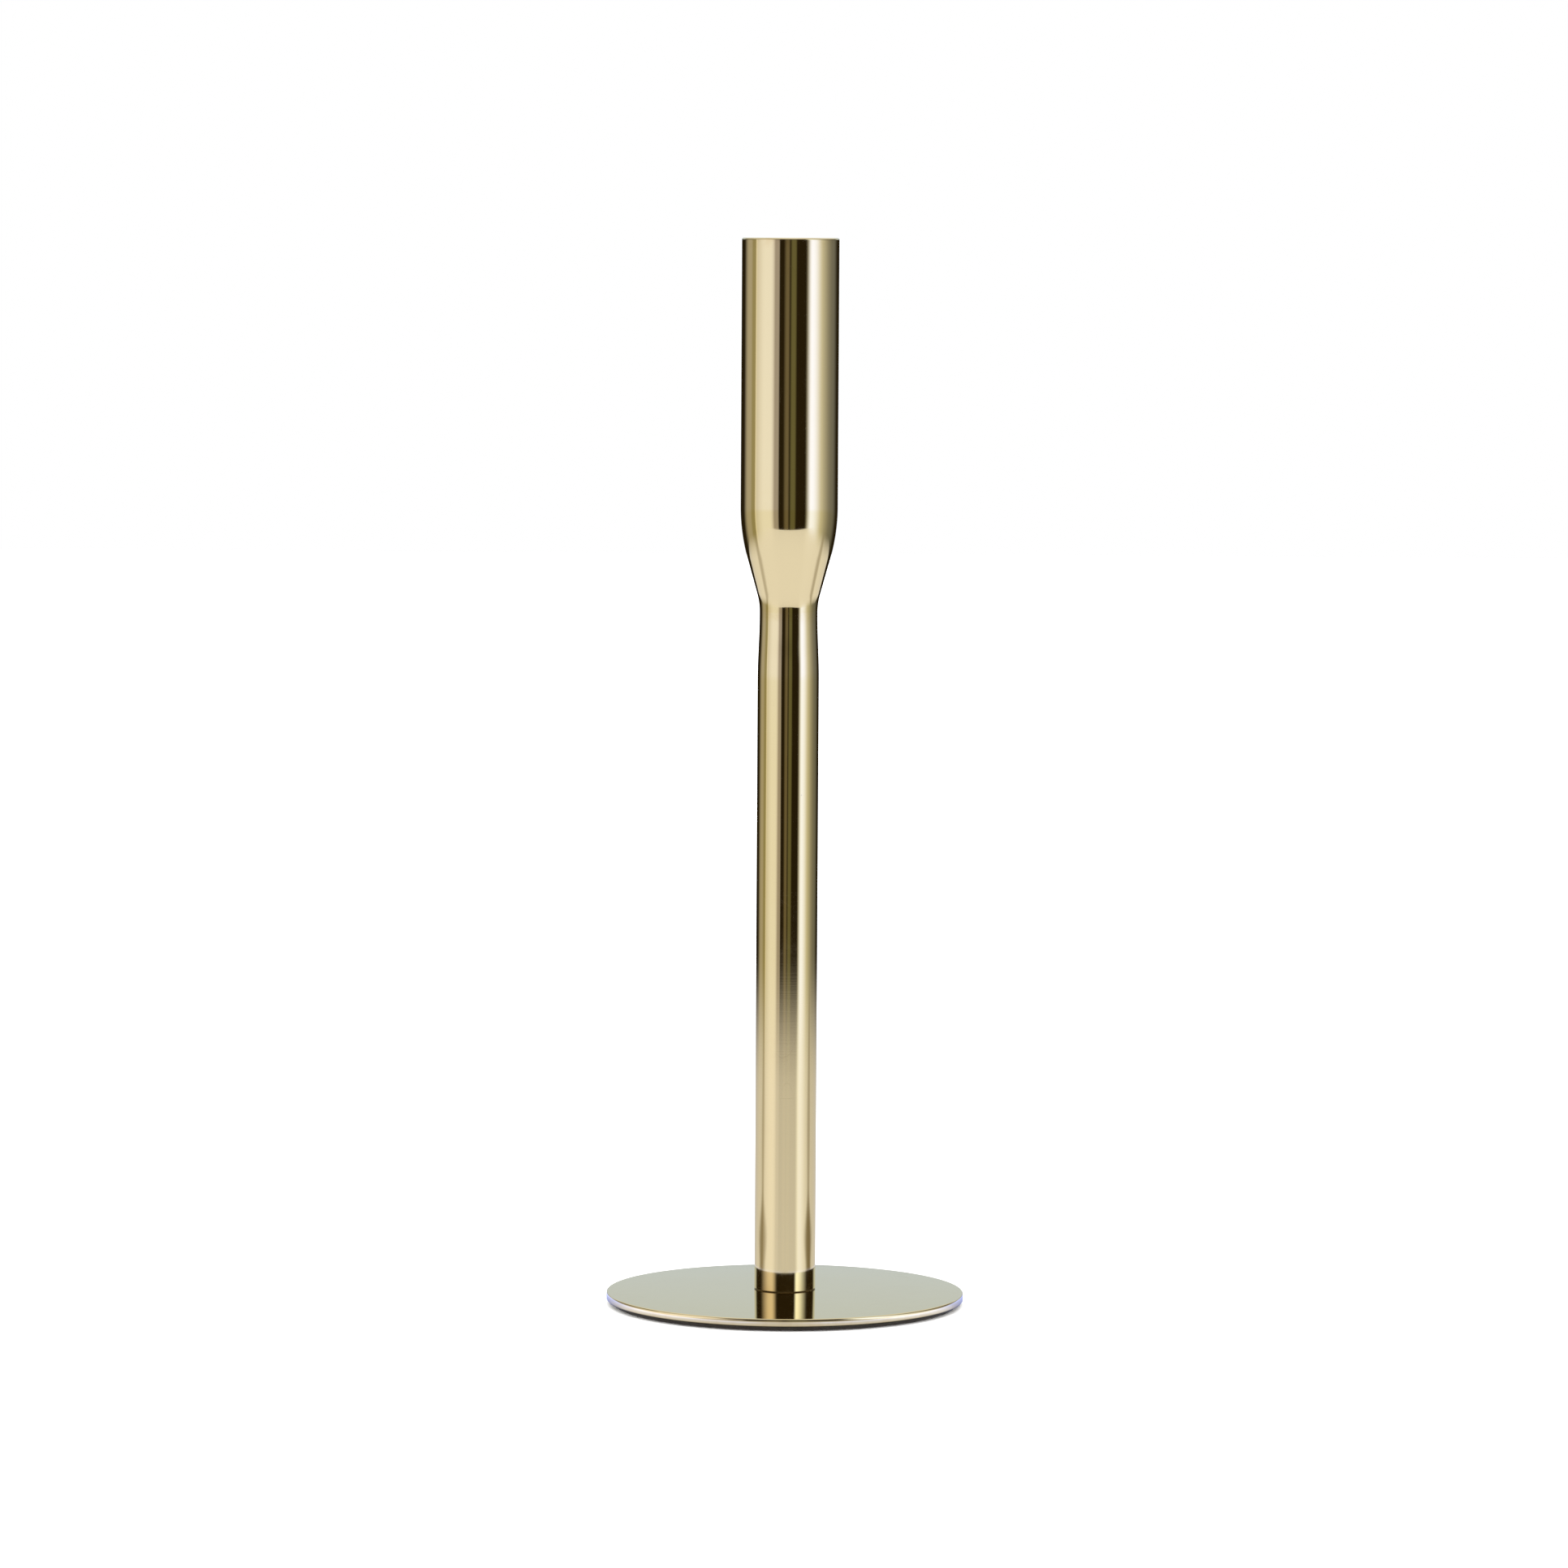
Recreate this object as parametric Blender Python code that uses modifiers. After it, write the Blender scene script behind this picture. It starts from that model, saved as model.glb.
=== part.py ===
"""Tall brass candlestick: a turned socket on a cone neck, a tube stem and a thin round base.

Metres, +Z up. The origin is the centre of the felt's underside, which stands on the table.
Run with: blender --background --python part.py
"""

import math

import bmesh
import bpy

# --- Driving sizes -------------------------------------------------------------------------
HEIGHT = 0.298  # table to rim

CANDLE_BORE = 0.0234  # diameter; takes a 22 mm dinner candle
CANDLE_DEPTH = 0.030  # rim to seat
SOCKET_WALL = 0.0018
SOCKET_STRAIGHT = 0.0745  # rim to the start of the shoulder
RIM_RADIUS = 0.0005

SHOULDER_RADIUS = 0.053  # rounds the socket into the cone
CONE_ANGLE = math.radians(15.6)  # between the cone's side and the axis
NECK_FILLET = 0.0185  # rounds the cone into the neck

STEM_DIAMETER = 0.0171
STEM_WALL = 0.0015
NECKING = 0.00048  # how far the stem's top end is drawn in, on the radius
NECK_LAND = 0.0004  # plain length at the neck on each side of the joint
FLARE_LENGTH = 0.0180  # over which the drawn-in end opens to the full stem
FOOT_CHAMFER = 0.0003

BASE_DIAMETER = 0.100
BASE_THICKNESS = 0.0024  # at the edge
BASE_CROWN = 0.0008  # rise of the top face from the edge to the stem
BASE_SEAT_MARGIN = 0.0004  # flat ring round the stem's foot
BASE_EDGE_RADIUS = 0.0006

FELT_THICKNESS = 0.0008
FELT_MARGIN = 0.0020  # from the base's edge to the felt's
FELT_HOLE_MARGIN = 0.0032  # round the screw's countersink

SEAT_THICKNESS = 0.0025
SEAT_CHAMFER = 0.0004
SEAT_LEDGE = 0.0008  # width of the step in the bore that the seat rests on
SEAT_DIMPLE_RADIUS = 0.0015  # left by the lathe's centre drill
SEAT_DIMPLE_DEPTH = 0.0006

BUSH_RECESS = 0.0002  # keeps the bushes clear of the faces that bear
BUSH_CHAMFER = 0.0005
BUSH_END = 0.0015  # solid metal past the end of a bush's hole
NECK_BORE_LENGTH = 0.012  # straight bore in the cone that holds the upper bush
TIP_ROOM = 0.0004  # between a screw's tip and the straight part of its hole
DRILL_POINT = 0.0006  # height of the hole's conical end

STUD_RADIUS = 0.0027  # M6, drawn plain at the middle of its thread
STUD_LENGTH = 0.018
SCREW_RADIUS = 0.00225  # M5, drawn plain at the middle of its thread
SCREW_LENGTH = 0.0150
SCREW_HEAD_RADIUS = 0.0046
SCREW_HEAD_LAND = 0.0002  # the head's thin straight edge
SCREW_POINT = 0.0005
HEX_KEY = 0.003  # across flats
HEX_DEPTH = 0.0018

GAP = 0.0003  # between faces that touch on the real object
CONE_GAP = GAP * math.sqrt(2)  # the same gap, along the axis of a 90 degree countersink

SEGMENTS = 48  # round the axis
BASE_SEGMENTS = 72  # the same, on the wide base
EDGE_STEPS = 3
ARC_STEPS = 5
FLARE_STEPS = 6
CROWN_STEPS = 6
SHARP_ANGLE = math.radians(25)
MERGE = 0.00001

# --- Radii and levels that follow from them --------------------------------------------------
BORE_RADIUS = CANDLE_BORE / 2
SOCKET_RADIUS = BORE_RADIUS + SOCKET_WALL
LEDGE_RADIUS = BORE_RADIUS - SEAT_LEDGE
STEM_RADIUS = STEM_DIAMETER / 2
NECK_RADIUS = STEM_RADIUS - NECKING
NECK_BORE_RADIUS = NECK_RADIUS - STEM_WALL
BASE_RADIUS = BASE_DIAMETER / 2
COUNTERSINK_RADIUS = SCREW_HEAD_RADIUS + GAP
SCREW_HOLE_RADIUS = SCREW_RADIUS + GAP

BASE_BOTTOM = FELT_THICKNESS + GAP
BASE_EDGE_TOP = BASE_BOTTOM + BASE_THICKNESS
BASE_TOP = BASE_EDGE_TOP + BASE_CROWN
STEM_BOTTOM = BASE_TOP + GAP

SHOULDER_TOP = HEIGHT - SOCKET_STRAIGHT
SHOULDER_TANGENT = SHOULDER_RADIUS * math.tan(CONE_ANGLE / 2)
FILLET_TANGENT = NECK_FILLET * math.tan(CONE_ANGLE / 2)
CONE_RUN = (SOCKET_RADIUS - NECK_RADIUS) / math.tan(CONE_ANGLE)
NECK_TOP = SHOULDER_TOP - SHOULDER_TANGENT - CONE_RUN - FILLET_TANGENT
SOCKET_BOTTOM = NECK_TOP - NECK_LAND
STEM_TOP = SOCKET_BOTTOM - GAP

SEAT_TOP = HEIGHT - CANDLE_DEPTH
SEAT_BOTTOM = SEAT_TOP - SEAT_THICKNESS
LEDGE_LEVEL = SEAT_BOTTOM - GAP

JOINT_LEVEL = (SOCKET_BOTTOM + STEM_TOP) / 2
STUD_TOP = JOINT_LEVEL + STUD_LENGTH / 2
STUD_BOTTOM = JOINT_LEVEL - STUD_LENGTH / 2
HEAD_EDGE = BASE_BOTTOM - (SCREW_HEAD_RADIUS - (COUNTERSINK_RADIUS - CONE_GAP))
HEAD_BOTTOM = HEAD_EDGE - SCREW_HEAD_LAND
SCREW_TIP = HEAD_BOTTOM + SCREW_LENGTH

BRASS = (0.83, 0.69, 0.42, 1.0)
PLAIN_BRASS = (0.72, 0.56, 0.30, 1.0)
STEEL = (0.56, 0.57, 0.58, 1.0)
FELT = (0.030, 0.026, 0.024, 1.0)


# --- Helpers ---------------------------------------------------------------------------------
def clear_scene():
    """Removes every object that the file opened with."""
    for obj in list(bpy.data.objects):
        bpy.data.objects.remove(obj)


def new_collection(name):
    collection = bpy.data.collections.new(name)
    bpy.context.scene.collection.children.link(collection)
    return collection


def make_material(name, colour, metallic, roughness):
    material = bpy.data.materials.new(name)
    material.use_nodes = True
    material.diffuse_color = colour
    shader = material.node_tree.nodes["Principled BSDF"]
    shader.inputs["Base Color"].default_value = colour
    shader.inputs["Metallic"].default_value = metallic
    shader.inputs["Roughness"].default_value = roughness
    return material


def arc(centre_r, centre_z, radius, start, end, steps):
    """Points of an arc in the (r, z) half plane, from the start angle to the end angle."""
    angles = [start + (end - start) * i / steps for i in range(steps + 1)]
    return [(centre_r + radius * math.cos(a), centre_z + radius * math.sin(a)) for a in angles]


def turned(name, outline, material, collection, closed, segments=SEGMENTS):
    """A lathe-turned piece: the (r, z) outline swept round the Z axis.

    The outline runs down its outer side. A closed one makes a ring or tube, and an open one
    starts and ends on the axis.
    """
    count = len(outline)
    edges = [(i, i + 1) for i in range(count - 1)]
    if closed:
        edges.append((count - 1, 0))
    mesh = bpy.data.meshes.new(name)
    mesh.from_pydata([(r, 0.0, z) for r, z in outline], edges, [])
    mesh.materials.append(material)
    piece = bpy.data.objects.new(name, mesh)
    collection.objects.link(piece)
    screw = piece.modifiers.new("Lathe", "SCREW")
    screw.axis = "Z"
    screw.angle = 2 * math.pi
    screw.steps = segments
    screw.render_steps = segments
    screw.use_merge_vertices = True
    screw.merge_threshold = MERGE
    return piece


def finish(piece):
    """Applies the piece's modifiers, then shades it smooth with its turned edges kept crisp."""
    bpy.context.view_layer.update()
    evaluated = piece.evaluated_get(bpy.context.evaluated_depsgraph_get())
    mesh = bpy.data.meshes.new_from_object(evaluated)
    mesh.name = piece.name
    mesh.shade_smooth()
    mesh.set_sharp_from_angle(angle=SHARP_ANGLE)
    piece.modifiers.clear()
    piece.data = mesh
    return piece


# --- Socket ----------------------------------------------------------------------------------
def socket_outer_side():
    """The outer side from the rim to the joint: straight socket, shoulder, cone and neck."""
    top_edge = arc(
        SOCKET_RADIUS - RIM_RADIUS, HEIGHT - RIM_RADIUS, RIM_RADIUS, math.pi / 2, 0, EDGE_STEPS
    )
    shoulder = arc(
        SOCKET_RADIUS - SHOULDER_RADIUS, SHOULDER_TOP, SHOULDER_RADIUS, 0, -CONE_ANGLE, ARC_STEPS
    )
    neck = arc(
        NECK_RADIUS + NECK_FILLET, NECK_TOP, NECK_FILLET, math.pi - CONE_ANGLE, math.pi, ARC_STEPS
    )
    return top_edge + shoulder + neck + [(NECK_RADIUS, SOCKET_BOTTOM)]


def socket_inner_side():
    """The bore from the joint up to the rim: bush bore, hollow cone, ledge and candle bore."""
    rim_edge = arc(
        BORE_RADIUS + RIM_RADIUS, HEIGHT - RIM_RADIUS, RIM_RADIUS, math.pi, math.pi / 2, EDGE_STEPS
    )
    return [
        (NECK_BORE_RADIUS, SOCKET_BOTTOM),
        (NECK_BORE_RADIUS, SOCKET_BOTTOM + NECK_BORE_LENGTH),
        (LEDGE_RADIUS, SHOULDER_TOP),
        (LEDGE_RADIUS, LEDGE_LEVEL),
        (BORE_RADIUS, LEDGE_LEVEL),
    ] + rim_edge


def make_socket_shell(brass, collection):
    """The cup, cone and neck, turned and bored in one piece."""
    outline = socket_outer_side() + socket_inner_side()
    return finish(turned("socket_shell", outline, brass, collection, closed=True))


def make_candle_seat(brass, collection):
    """The turned disc on the bore's ledge, which the candle stands on."""
    radius = BORE_RADIUS - GAP
    outline = [
        (0.0, SEAT_TOP - SEAT_DIMPLE_DEPTH),
        (SEAT_DIMPLE_RADIUS, SEAT_TOP),
        (radius - SEAT_CHAMFER, SEAT_TOP),
        (radius, SEAT_TOP - SEAT_CHAMFER),
        (radius, SEAT_BOTTOM),
        (0.0, SEAT_BOTTOM),
    ]
    return finish(turned("candle_seat", outline, brass, collection, closed=False))


# --- Joint at the neck -----------------------------------------------------------------------
def make_bush(name, radius, mouth, hole_radius, tip, brass, collection):
    """A tapped bush brazed into a tube's end.

    Its blind hole opens at the mouth and takes a screw whose tip is at the given level.
    """
    direction = math.copysign(1, tip - mouth)
    hole_shoulder = tip + direction * TIP_ROOM
    hole_end = hole_shoulder + direction * DRILL_POINT
    far = hole_end + direction * BUSH_END
    chamfer = direction * BUSH_CHAMFER
    outline = [
        (0.0, hole_end),
        (hole_radius, hole_shoulder),
        (hole_radius, mouth),
        (radius - BUSH_CHAMFER, mouth),
        (radius, mouth + chamfer),
        (radius, far - chamfer),
        (radius - BUSH_CHAMFER, far),
        (0.0, far),
    ]
    if direction > 0:
        outline.reverse()
    return finish(turned(name, outline, brass, collection, closed=False))


def make_neck_bushes(brass, collection):
    """Two tapped bushes, one in the cone and one in the stem, that the stud joins."""
    radius = NECK_BORE_RADIUS - GAP
    hole_radius = STUD_RADIUS + GAP
    upper_mouth = SOCKET_BOTTOM + BUSH_RECESS
    lower_mouth = STEM_TOP - BUSH_RECESS
    make_bush("neck_bush_upper", radius, upper_mouth, hole_radius, STUD_TOP, brass, collection)
    make_bush("neck_bush_lower", radius, lower_mouth, hole_radius, STUD_BOTTOM, brass, collection)


def make_neck_stud(steel, collection):
    """The headless screw across the joint, chamfered at both ends."""
    outline = [
        (0.0, STUD_TOP),
        (STUD_RADIUS - SCREW_POINT, STUD_TOP),
        (STUD_RADIUS, STUD_TOP - SCREW_POINT),
        (STUD_RADIUS, STUD_BOTTOM + SCREW_POINT),
        (STUD_RADIUS - SCREW_POINT, STUD_BOTTOM),
        (0.0, STUD_BOTTOM),
    ]
    return finish(turned("neck_stud", outline, steel, collection, closed=False))


# --- Stem ------------------------------------------------------------------------------------
def flare(inset):
    """The side of the stem's drawn-in end, downwards, set in from the outer surface.

    The radius follows half a cosine wave, so it leaves both straight lengths smoothly.
    """
    start = STEM_TOP - NECK_LAND
    points = []
    for i in range(FLARE_STEPS + 1):
        along = i / FLARE_STEPS
        opened = NECKING * (1 - math.cos(math.pi * along)) / 2
        points.append((NECK_RADIUS + opened - inset, start - FLARE_LENGTH * along))
    return points


def make_stem_tube(brass, collection):
    """The drawn tube, with its top end necked in to meet the cone."""
    outer = [(NECK_RADIUS, STEM_TOP)] + flare(0.0)
    foot = [
        (STEM_RADIUS, STEM_BOTTOM + FOOT_CHAMFER),
        (STEM_RADIUS - FOOT_CHAMFER, STEM_BOTTOM),
        (STEM_RADIUS - STEM_WALL, STEM_BOTTOM),
    ]
    inner = flare(STEM_WALL)[::-1] + [(NECK_BORE_RADIUS, STEM_TOP)]
    return finish(turned("stem_tube", outer + foot + inner, brass, collection, closed=True))


def make_foot_bush(brass, collection):
    """The tapped bush brazed into the stem's lower end, which the base's screw pulls on."""
    radius = STEM_RADIUS - STEM_WALL - GAP
    mouth = STEM_BOTTOM + BUSH_RECESS
    return make_bush("foot_bush", radius, mouth, SCREW_HOLE_RADIUS, SCREW_TIP, brass, collection)


# --- Base ------------------------------------------------------------------------------------
def crown():
    """The top face from the flat seat round the stem out to the edge.

    It falls with the square of the distance from the seat, so it leaves the seat level.
    """
    seat = STEM_RADIUS + BASE_SEAT_MARGIN
    width = BASE_RADIUS - BASE_EDGE_RADIUS - seat
    shares = [i / CROWN_STEPS for i in range(CROWN_STEPS + 1)]
    return [(seat + width * share, BASE_TOP - BASE_CROWN * share ** 2) for share in shares]


def make_base_disc(brass, collection):
    """The round plate, slightly crowned, with rounded edges and a hole countersunk from below."""
    inset = BASE_RADIUS - BASE_EDGE_RADIUS
    top_edge = arc(
        inset, BASE_EDGE_TOP - BASE_EDGE_RADIUS, BASE_EDGE_RADIUS, math.pi / 2, 0, EDGE_STEPS
    )
    bottom_edge = arc(
        inset, BASE_BOTTOM + BASE_EDGE_RADIUS, BASE_EDGE_RADIUS, 0, -math.pi / 2, EDGE_STEPS
    )
    depth = min(COUNTERSINK_RADIUS - SCREW_HOLE_RADIUS, BASE_THICKNESS)
    hole = [
        (COUNTERSINK_RADIUS, BASE_BOTTOM),
        (COUNTERSINK_RADIUS - depth, BASE_BOTTOM + depth),
        (SCREW_HOLE_RADIUS, BASE_TOP),
    ]
    outline = crown()[:-1] + top_edge + bottom_edge + hole
    disc = turned("base_disc", outline, brass, collection, closed=True, segments=BASE_SEGMENTS)
    return finish(disc)


def make_base_screw(steel, collection, cutters):
    """The countersunk screw, with a hexagon socket, that clamps the base to the stem."""
    head_top = HEAD_EDGE + SCREW_HEAD_RADIUS - SCREW_RADIUS
    outline = [
        (0.0, SCREW_TIP),
        (SCREW_RADIUS - SCREW_POINT, SCREW_TIP),
        (SCREW_RADIUS, SCREW_TIP - SCREW_POINT),
        (SCREW_RADIUS, head_top),
        (SCREW_HEAD_RADIUS, HEAD_EDGE),
        (SCREW_HEAD_RADIUS, HEAD_BOTTOM),
        (0.0, HEAD_BOTTOM),
    ]
    screw = turned("base_screw", outline, steel, collection, closed=False)

    socket_mesh = bpy.data.meshes.new("hex_socket_cutter")
    form = bmesh.new()
    corner_radius = HEX_KEY / math.sqrt(3)
    bmesh.ops.create_cone(
        form,
        cap_ends=True,
        segments=6,
        radius1=corner_radius,
        radius2=corner_radius,
        depth=2 * HEX_DEPTH,
    )
    form.to_mesh(socket_mesh)
    form.free()
    socket = bpy.data.objects.new("hex_socket_cutter", socket_mesh)
    socket.location = (0.0, 0.0, HEAD_BOTTOM)
    socket.display_type = "WIRE"
    socket.hide_render = True
    cutters.objects.link(socket)

    cut = screw.modifiers.new("Hexagon socket", "BOOLEAN")
    cut.operation = "DIFFERENCE"
    cut.object = socket
    return finish(screw)


def make_felt_pad(felt, collection):
    """The felt ring under the base, open round the screw."""
    outer = BASE_RADIUS - FELT_MARGIN
    inner = COUNTERSINK_RADIUS + FELT_HOLE_MARGIN
    outline = [(outer, FELT_THICKNESS), (outer, 0.0), (inner, 0.0), (inner, FELT_THICKNESS)]
    pad = turned("felt_pad", outline, felt, collection, closed=True, segments=BASE_SEGMENTS)
    return finish(pad)


def main():
    clear_scene()
    parts = new_collection("candlestick")
    cutters = new_collection("cutters")
    brass = make_material("polished_brass", BRASS, 1.0, 0.08)
    plain_brass = make_material("turned_brass", PLAIN_BRASS, 1.0, 0.35)
    steel = make_material("zinc_steel", STEEL, 1.0, 0.30)
    felt = make_material("felt", FELT, 0.0, 0.95)

    make_socket_shell(brass, parts)
    make_candle_seat(brass, parts)
    make_neck_bushes(plain_brass, parts)
    make_neck_stud(steel, parts)
    make_stem_tube(brass, parts)
    make_foot_bush(plain_brass, parts)
    make_base_disc(brass, parts)
    make_base_screw(steel, parts, cutters)
    make_felt_pad(felt, parts)


main()
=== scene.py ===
"""Tall brass candlestick on a pale table: finished pieces, materials, stage and camera.

Laid out as an add-on: the sizes and colours are properties, each piece or group of like
pieces has an operator, and a panel in the 3D view's sidebar lists them. Run as a script,
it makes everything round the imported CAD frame. Metres, +Z up, the table is at z = 0.
"""

import math

import bpy
import numpy as np
from mathutils import Matrix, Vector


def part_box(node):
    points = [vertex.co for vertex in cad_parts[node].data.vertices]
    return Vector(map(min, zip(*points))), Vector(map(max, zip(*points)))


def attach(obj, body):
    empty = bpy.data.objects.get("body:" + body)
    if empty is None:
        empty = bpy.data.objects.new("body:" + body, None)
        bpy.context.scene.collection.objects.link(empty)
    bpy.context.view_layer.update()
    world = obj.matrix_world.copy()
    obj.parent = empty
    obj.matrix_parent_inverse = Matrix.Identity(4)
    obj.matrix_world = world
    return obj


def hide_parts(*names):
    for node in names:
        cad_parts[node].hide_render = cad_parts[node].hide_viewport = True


bl_info = {
    "name": "Tall Brass Candlestick",
    "version": (1, 0, 0),
    "blender": (4, 5, 0),
    "location": "View3D > Sidebar > Candlestick",
    "description": "Makes a polished brass taper candlestick and the stage it stands on",
    "category": "Object",
}

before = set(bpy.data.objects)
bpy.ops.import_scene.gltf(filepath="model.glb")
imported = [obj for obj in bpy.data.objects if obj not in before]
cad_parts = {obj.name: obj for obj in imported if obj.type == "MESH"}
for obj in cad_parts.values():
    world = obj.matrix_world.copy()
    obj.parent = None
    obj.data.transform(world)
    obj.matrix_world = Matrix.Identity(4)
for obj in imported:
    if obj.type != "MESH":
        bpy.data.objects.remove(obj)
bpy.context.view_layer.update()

BODY = "root"
TAU = 2 * math.pi

# Corners of the CAD nodes at rest: the sizes below start from them.
BOX = {node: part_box(node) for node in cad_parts}
RIM_LEVEL = BOX["socket_shell"][1].z
JOINT_LEVEL = (BOX["socket_shell"][0].z + BOX["stem_tube"][1].z) / 2
BASE_TOP = BOX["base_disc"][1].z
BASE_BOTTOM = BOX["base_disc"][0].z
SEAT_LEVEL = BOX["candle_seat"][1].z

# --- Fineness of the surfaces ------------------------------------------------------------------
AROUND = 192  # columns round a turned piece
AROUND_BASE = 288
AROUND_FELT = 360
AROUND_SCREW = 96  # a multiple of 6, so that the key socket's corners are columns
SHARP = math.radians(32)
CORNER = math.radians(1)
GUARD = 0.00004  # from a corner to the row that guards the shading beside it
LONGEST_ROW = 0.0026

# --- Small shapes that stay the same ------------------------------------------------------------
JOINT_HAIRLINE = 0.000002  # half the gap that shows between cone and stem
FOOT_BREAK = 0.00026
FIT_CLEARANCE = 0.00005  # round the seat in its bore
CENTRE_RADIUS = 0.0016  # of the drilled centre in the seat
CENTRE_DEPTH = 0.0006
HOLE_ROOM = 0.0003  # from a screw's middle radius to its hole's
BUSH_CHAMFER = 0.0005
BUSH_END = 0.0015
TIP_ROOM = 0.0004
DRILL_POINT = 0.0006
SCREW_POINT = 0.0005
STUD_PITCH = 0.0010
SCREW_PITCH = 0.0008
THREAD_DEPTH = 0.00042
THREAD_PLAY = 0.00012  # between a screw's crests and its hole's roots
KEY_DEPTH = 0.0018
FELT_EDGE = 0.00022  # rounding on its edges
FELT_WAVES = 28
FOOT_SHADE_LINE = (0.00022, 0.00042)  # from the corner: where the painted shade in the corner thins and where it ends
SCRATCH_DEPTH = 0.0000006
FLOOR_LEVEL = -0.00006  # both sheets lie just under the felt
TABLE_LEVEL = -0.00002
SHEET_CELLS = 12  # along each side of a sheet

# --- The studio's light, in degrees round and above the candlestick ------------------------------
WHITE = (1.0, 1.0, 1.0)
DIM_ROOM = (0.020, 0.014, 0.006)
HIGH_FROM = (0.0, 5.0)  # the heights over which high panels take over from low ones
LOW_PANELS = (  # start, end, softness at the start and at the end, light
    (-128, -103, 24, 8, (0.41, 0.39, 0.35)),  # left wall
    (-103, -87, 8, 5, (0.31, 0.29, 0.18)),  # and the gap beside it
    (-89, -41, 5, 13, (0.65, 0.64, 0.67)),  # left soft panel
    (-78, -40, 33, 9, (0.25, 0.29, 0.42)),  # its bright middle
    (-42, -26, 9, 4, (0.37, 0.35, 0.40)),  # its edge
    (-12, -2, 9, 5, (0.14, 0.12, 0.08)),  # dim room either side of the camera
    (2, 14, 6, 6, (0.12, 0.12, 0.06)),
    (47, 69, 14, 30, (0.31, 0.46, 1.32)),  # window-like middle of the right panel
    (44, 93, 15, 63, (0.79, 0.80, 0.77)),  # right soft panel
    (107, 134, 40, 28, (0.16, 0.17, 0.18)),  # right wall
)
HIGH_PANELS = (
    (-82, -40, 50, 24, (0.78, 0.72, 0.68)),  # left soft panel
    (40, 68, 13, 54, (1.25, 1.42, 1.70)),  # right soft panel
)
WALL_BEHIND = (0.55, 0.63, 0.69)  # pale grey above its dark foot
WALL_FROM, WALL_FOOT = (128.0, 150.0), (1.0, 5.0)
WARMTH, WARM_BELOW = (0.95, 0.93, 0.81), (-4.5, -2.0)
UPPER_FRONT, UPPER_SIDES = (0.34, 0.33, 0.33), (0.70, 0.72, 0.73)  # above the panels
UPPER_FROM, SIDES_FROM = (13.5, 23.0), (50.0, 110.0)
CEILING, CEILING_FROM = (0.86, 0.88, 0.92), (28.0, 70.0)
GROUND, GROUND_BELOW = (0.30, 0.29, 0.31), (-30.0, -18.0)
LOWER_PANELS = 0.55  # how much of the panels is left over the ground
SOFT_ABOVE, SOFT_BELOW, SOFT_CHANGE = 2.1, 0.55, (-12.0, -2.0)  # light on matt surfaces

# --- The table top's painted glow, gleam and shadows, in metres from the axis unless noted -------
TABLE_IOR = 1.10
GLOSS_HEIGHT = 2.5  # degrees up to the panels that the gloss returns
GLOSS_STRENGTH = 1.3
# GLEAM is a painted highlight on the table close to the base, stronger off the front
GLEAM, GLEAM_END = (0.8, 1.1, 2.8), (0.066, 0.078)
GLEAM_TURN, GLEAM_STRENGTHS = (2.0, 20.0), (0.45, 1.5)  # degrees off the front, and strength
STEM_SHADOWS = ((-93.0, 0.80), (96.0, 0.92))  # painted shadows of the stem: bearing and darkness
SHADOW_LENGTH, SHADOW_FAR = ((0.03, 0.05), (0.16, 0.26)), 0.55
SHADOW_SPREADS, SHADOW_WIDTHS = (0.15, 0.45), (0.019, 0.062)
SHADOW_SWELLS, SHADOW_SWELL = ((0.07, 0.14), (0.14, 0.24)), 0.030
SHADOW_SOFTNESS = (0.2, 1.5)  # in widths from its middle line
BASE_SHADOW = (0.0495, 0.0545, 0.0, 1.0)  # between two distances, the light left at each
BASE_HALF_SHADOW = (0.058, 0.078, 0.74, 1.0)
UNDER_BASE = (0.0480, 0.0490)
CRISP_END, SIDES_END, FADED_END = (0.83, 0.87), (0.50, 1.05), (0.48, 1.0)  # shares of its reach
OVAL = 0.72  # the crisp end's depth over its width
LOW_ANGLE = (0.13, 0.22)  # the mirror share at which the fading end takes over


def metres(name, description, default):
    """A length property."""
    return bpy.props.FloatProperty(
        name=name, description=description, default=default, min=0.0, unit="LENGTH", precision=5
    )


def turn(name, description, default):
    """An angle property; its default is given in degrees."""
    return bpy.props.FloatProperty(
        name=name, description=description, default=math.radians(default), subtype="ANGLE"
    )


def paint(name, description, default):
    """A colour property."""
    return bpy.props.FloatVectorProperty(
        name=name, description=description, default=default, size=3, min=0, max=1,
        subtype="COLOR",
    )


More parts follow.
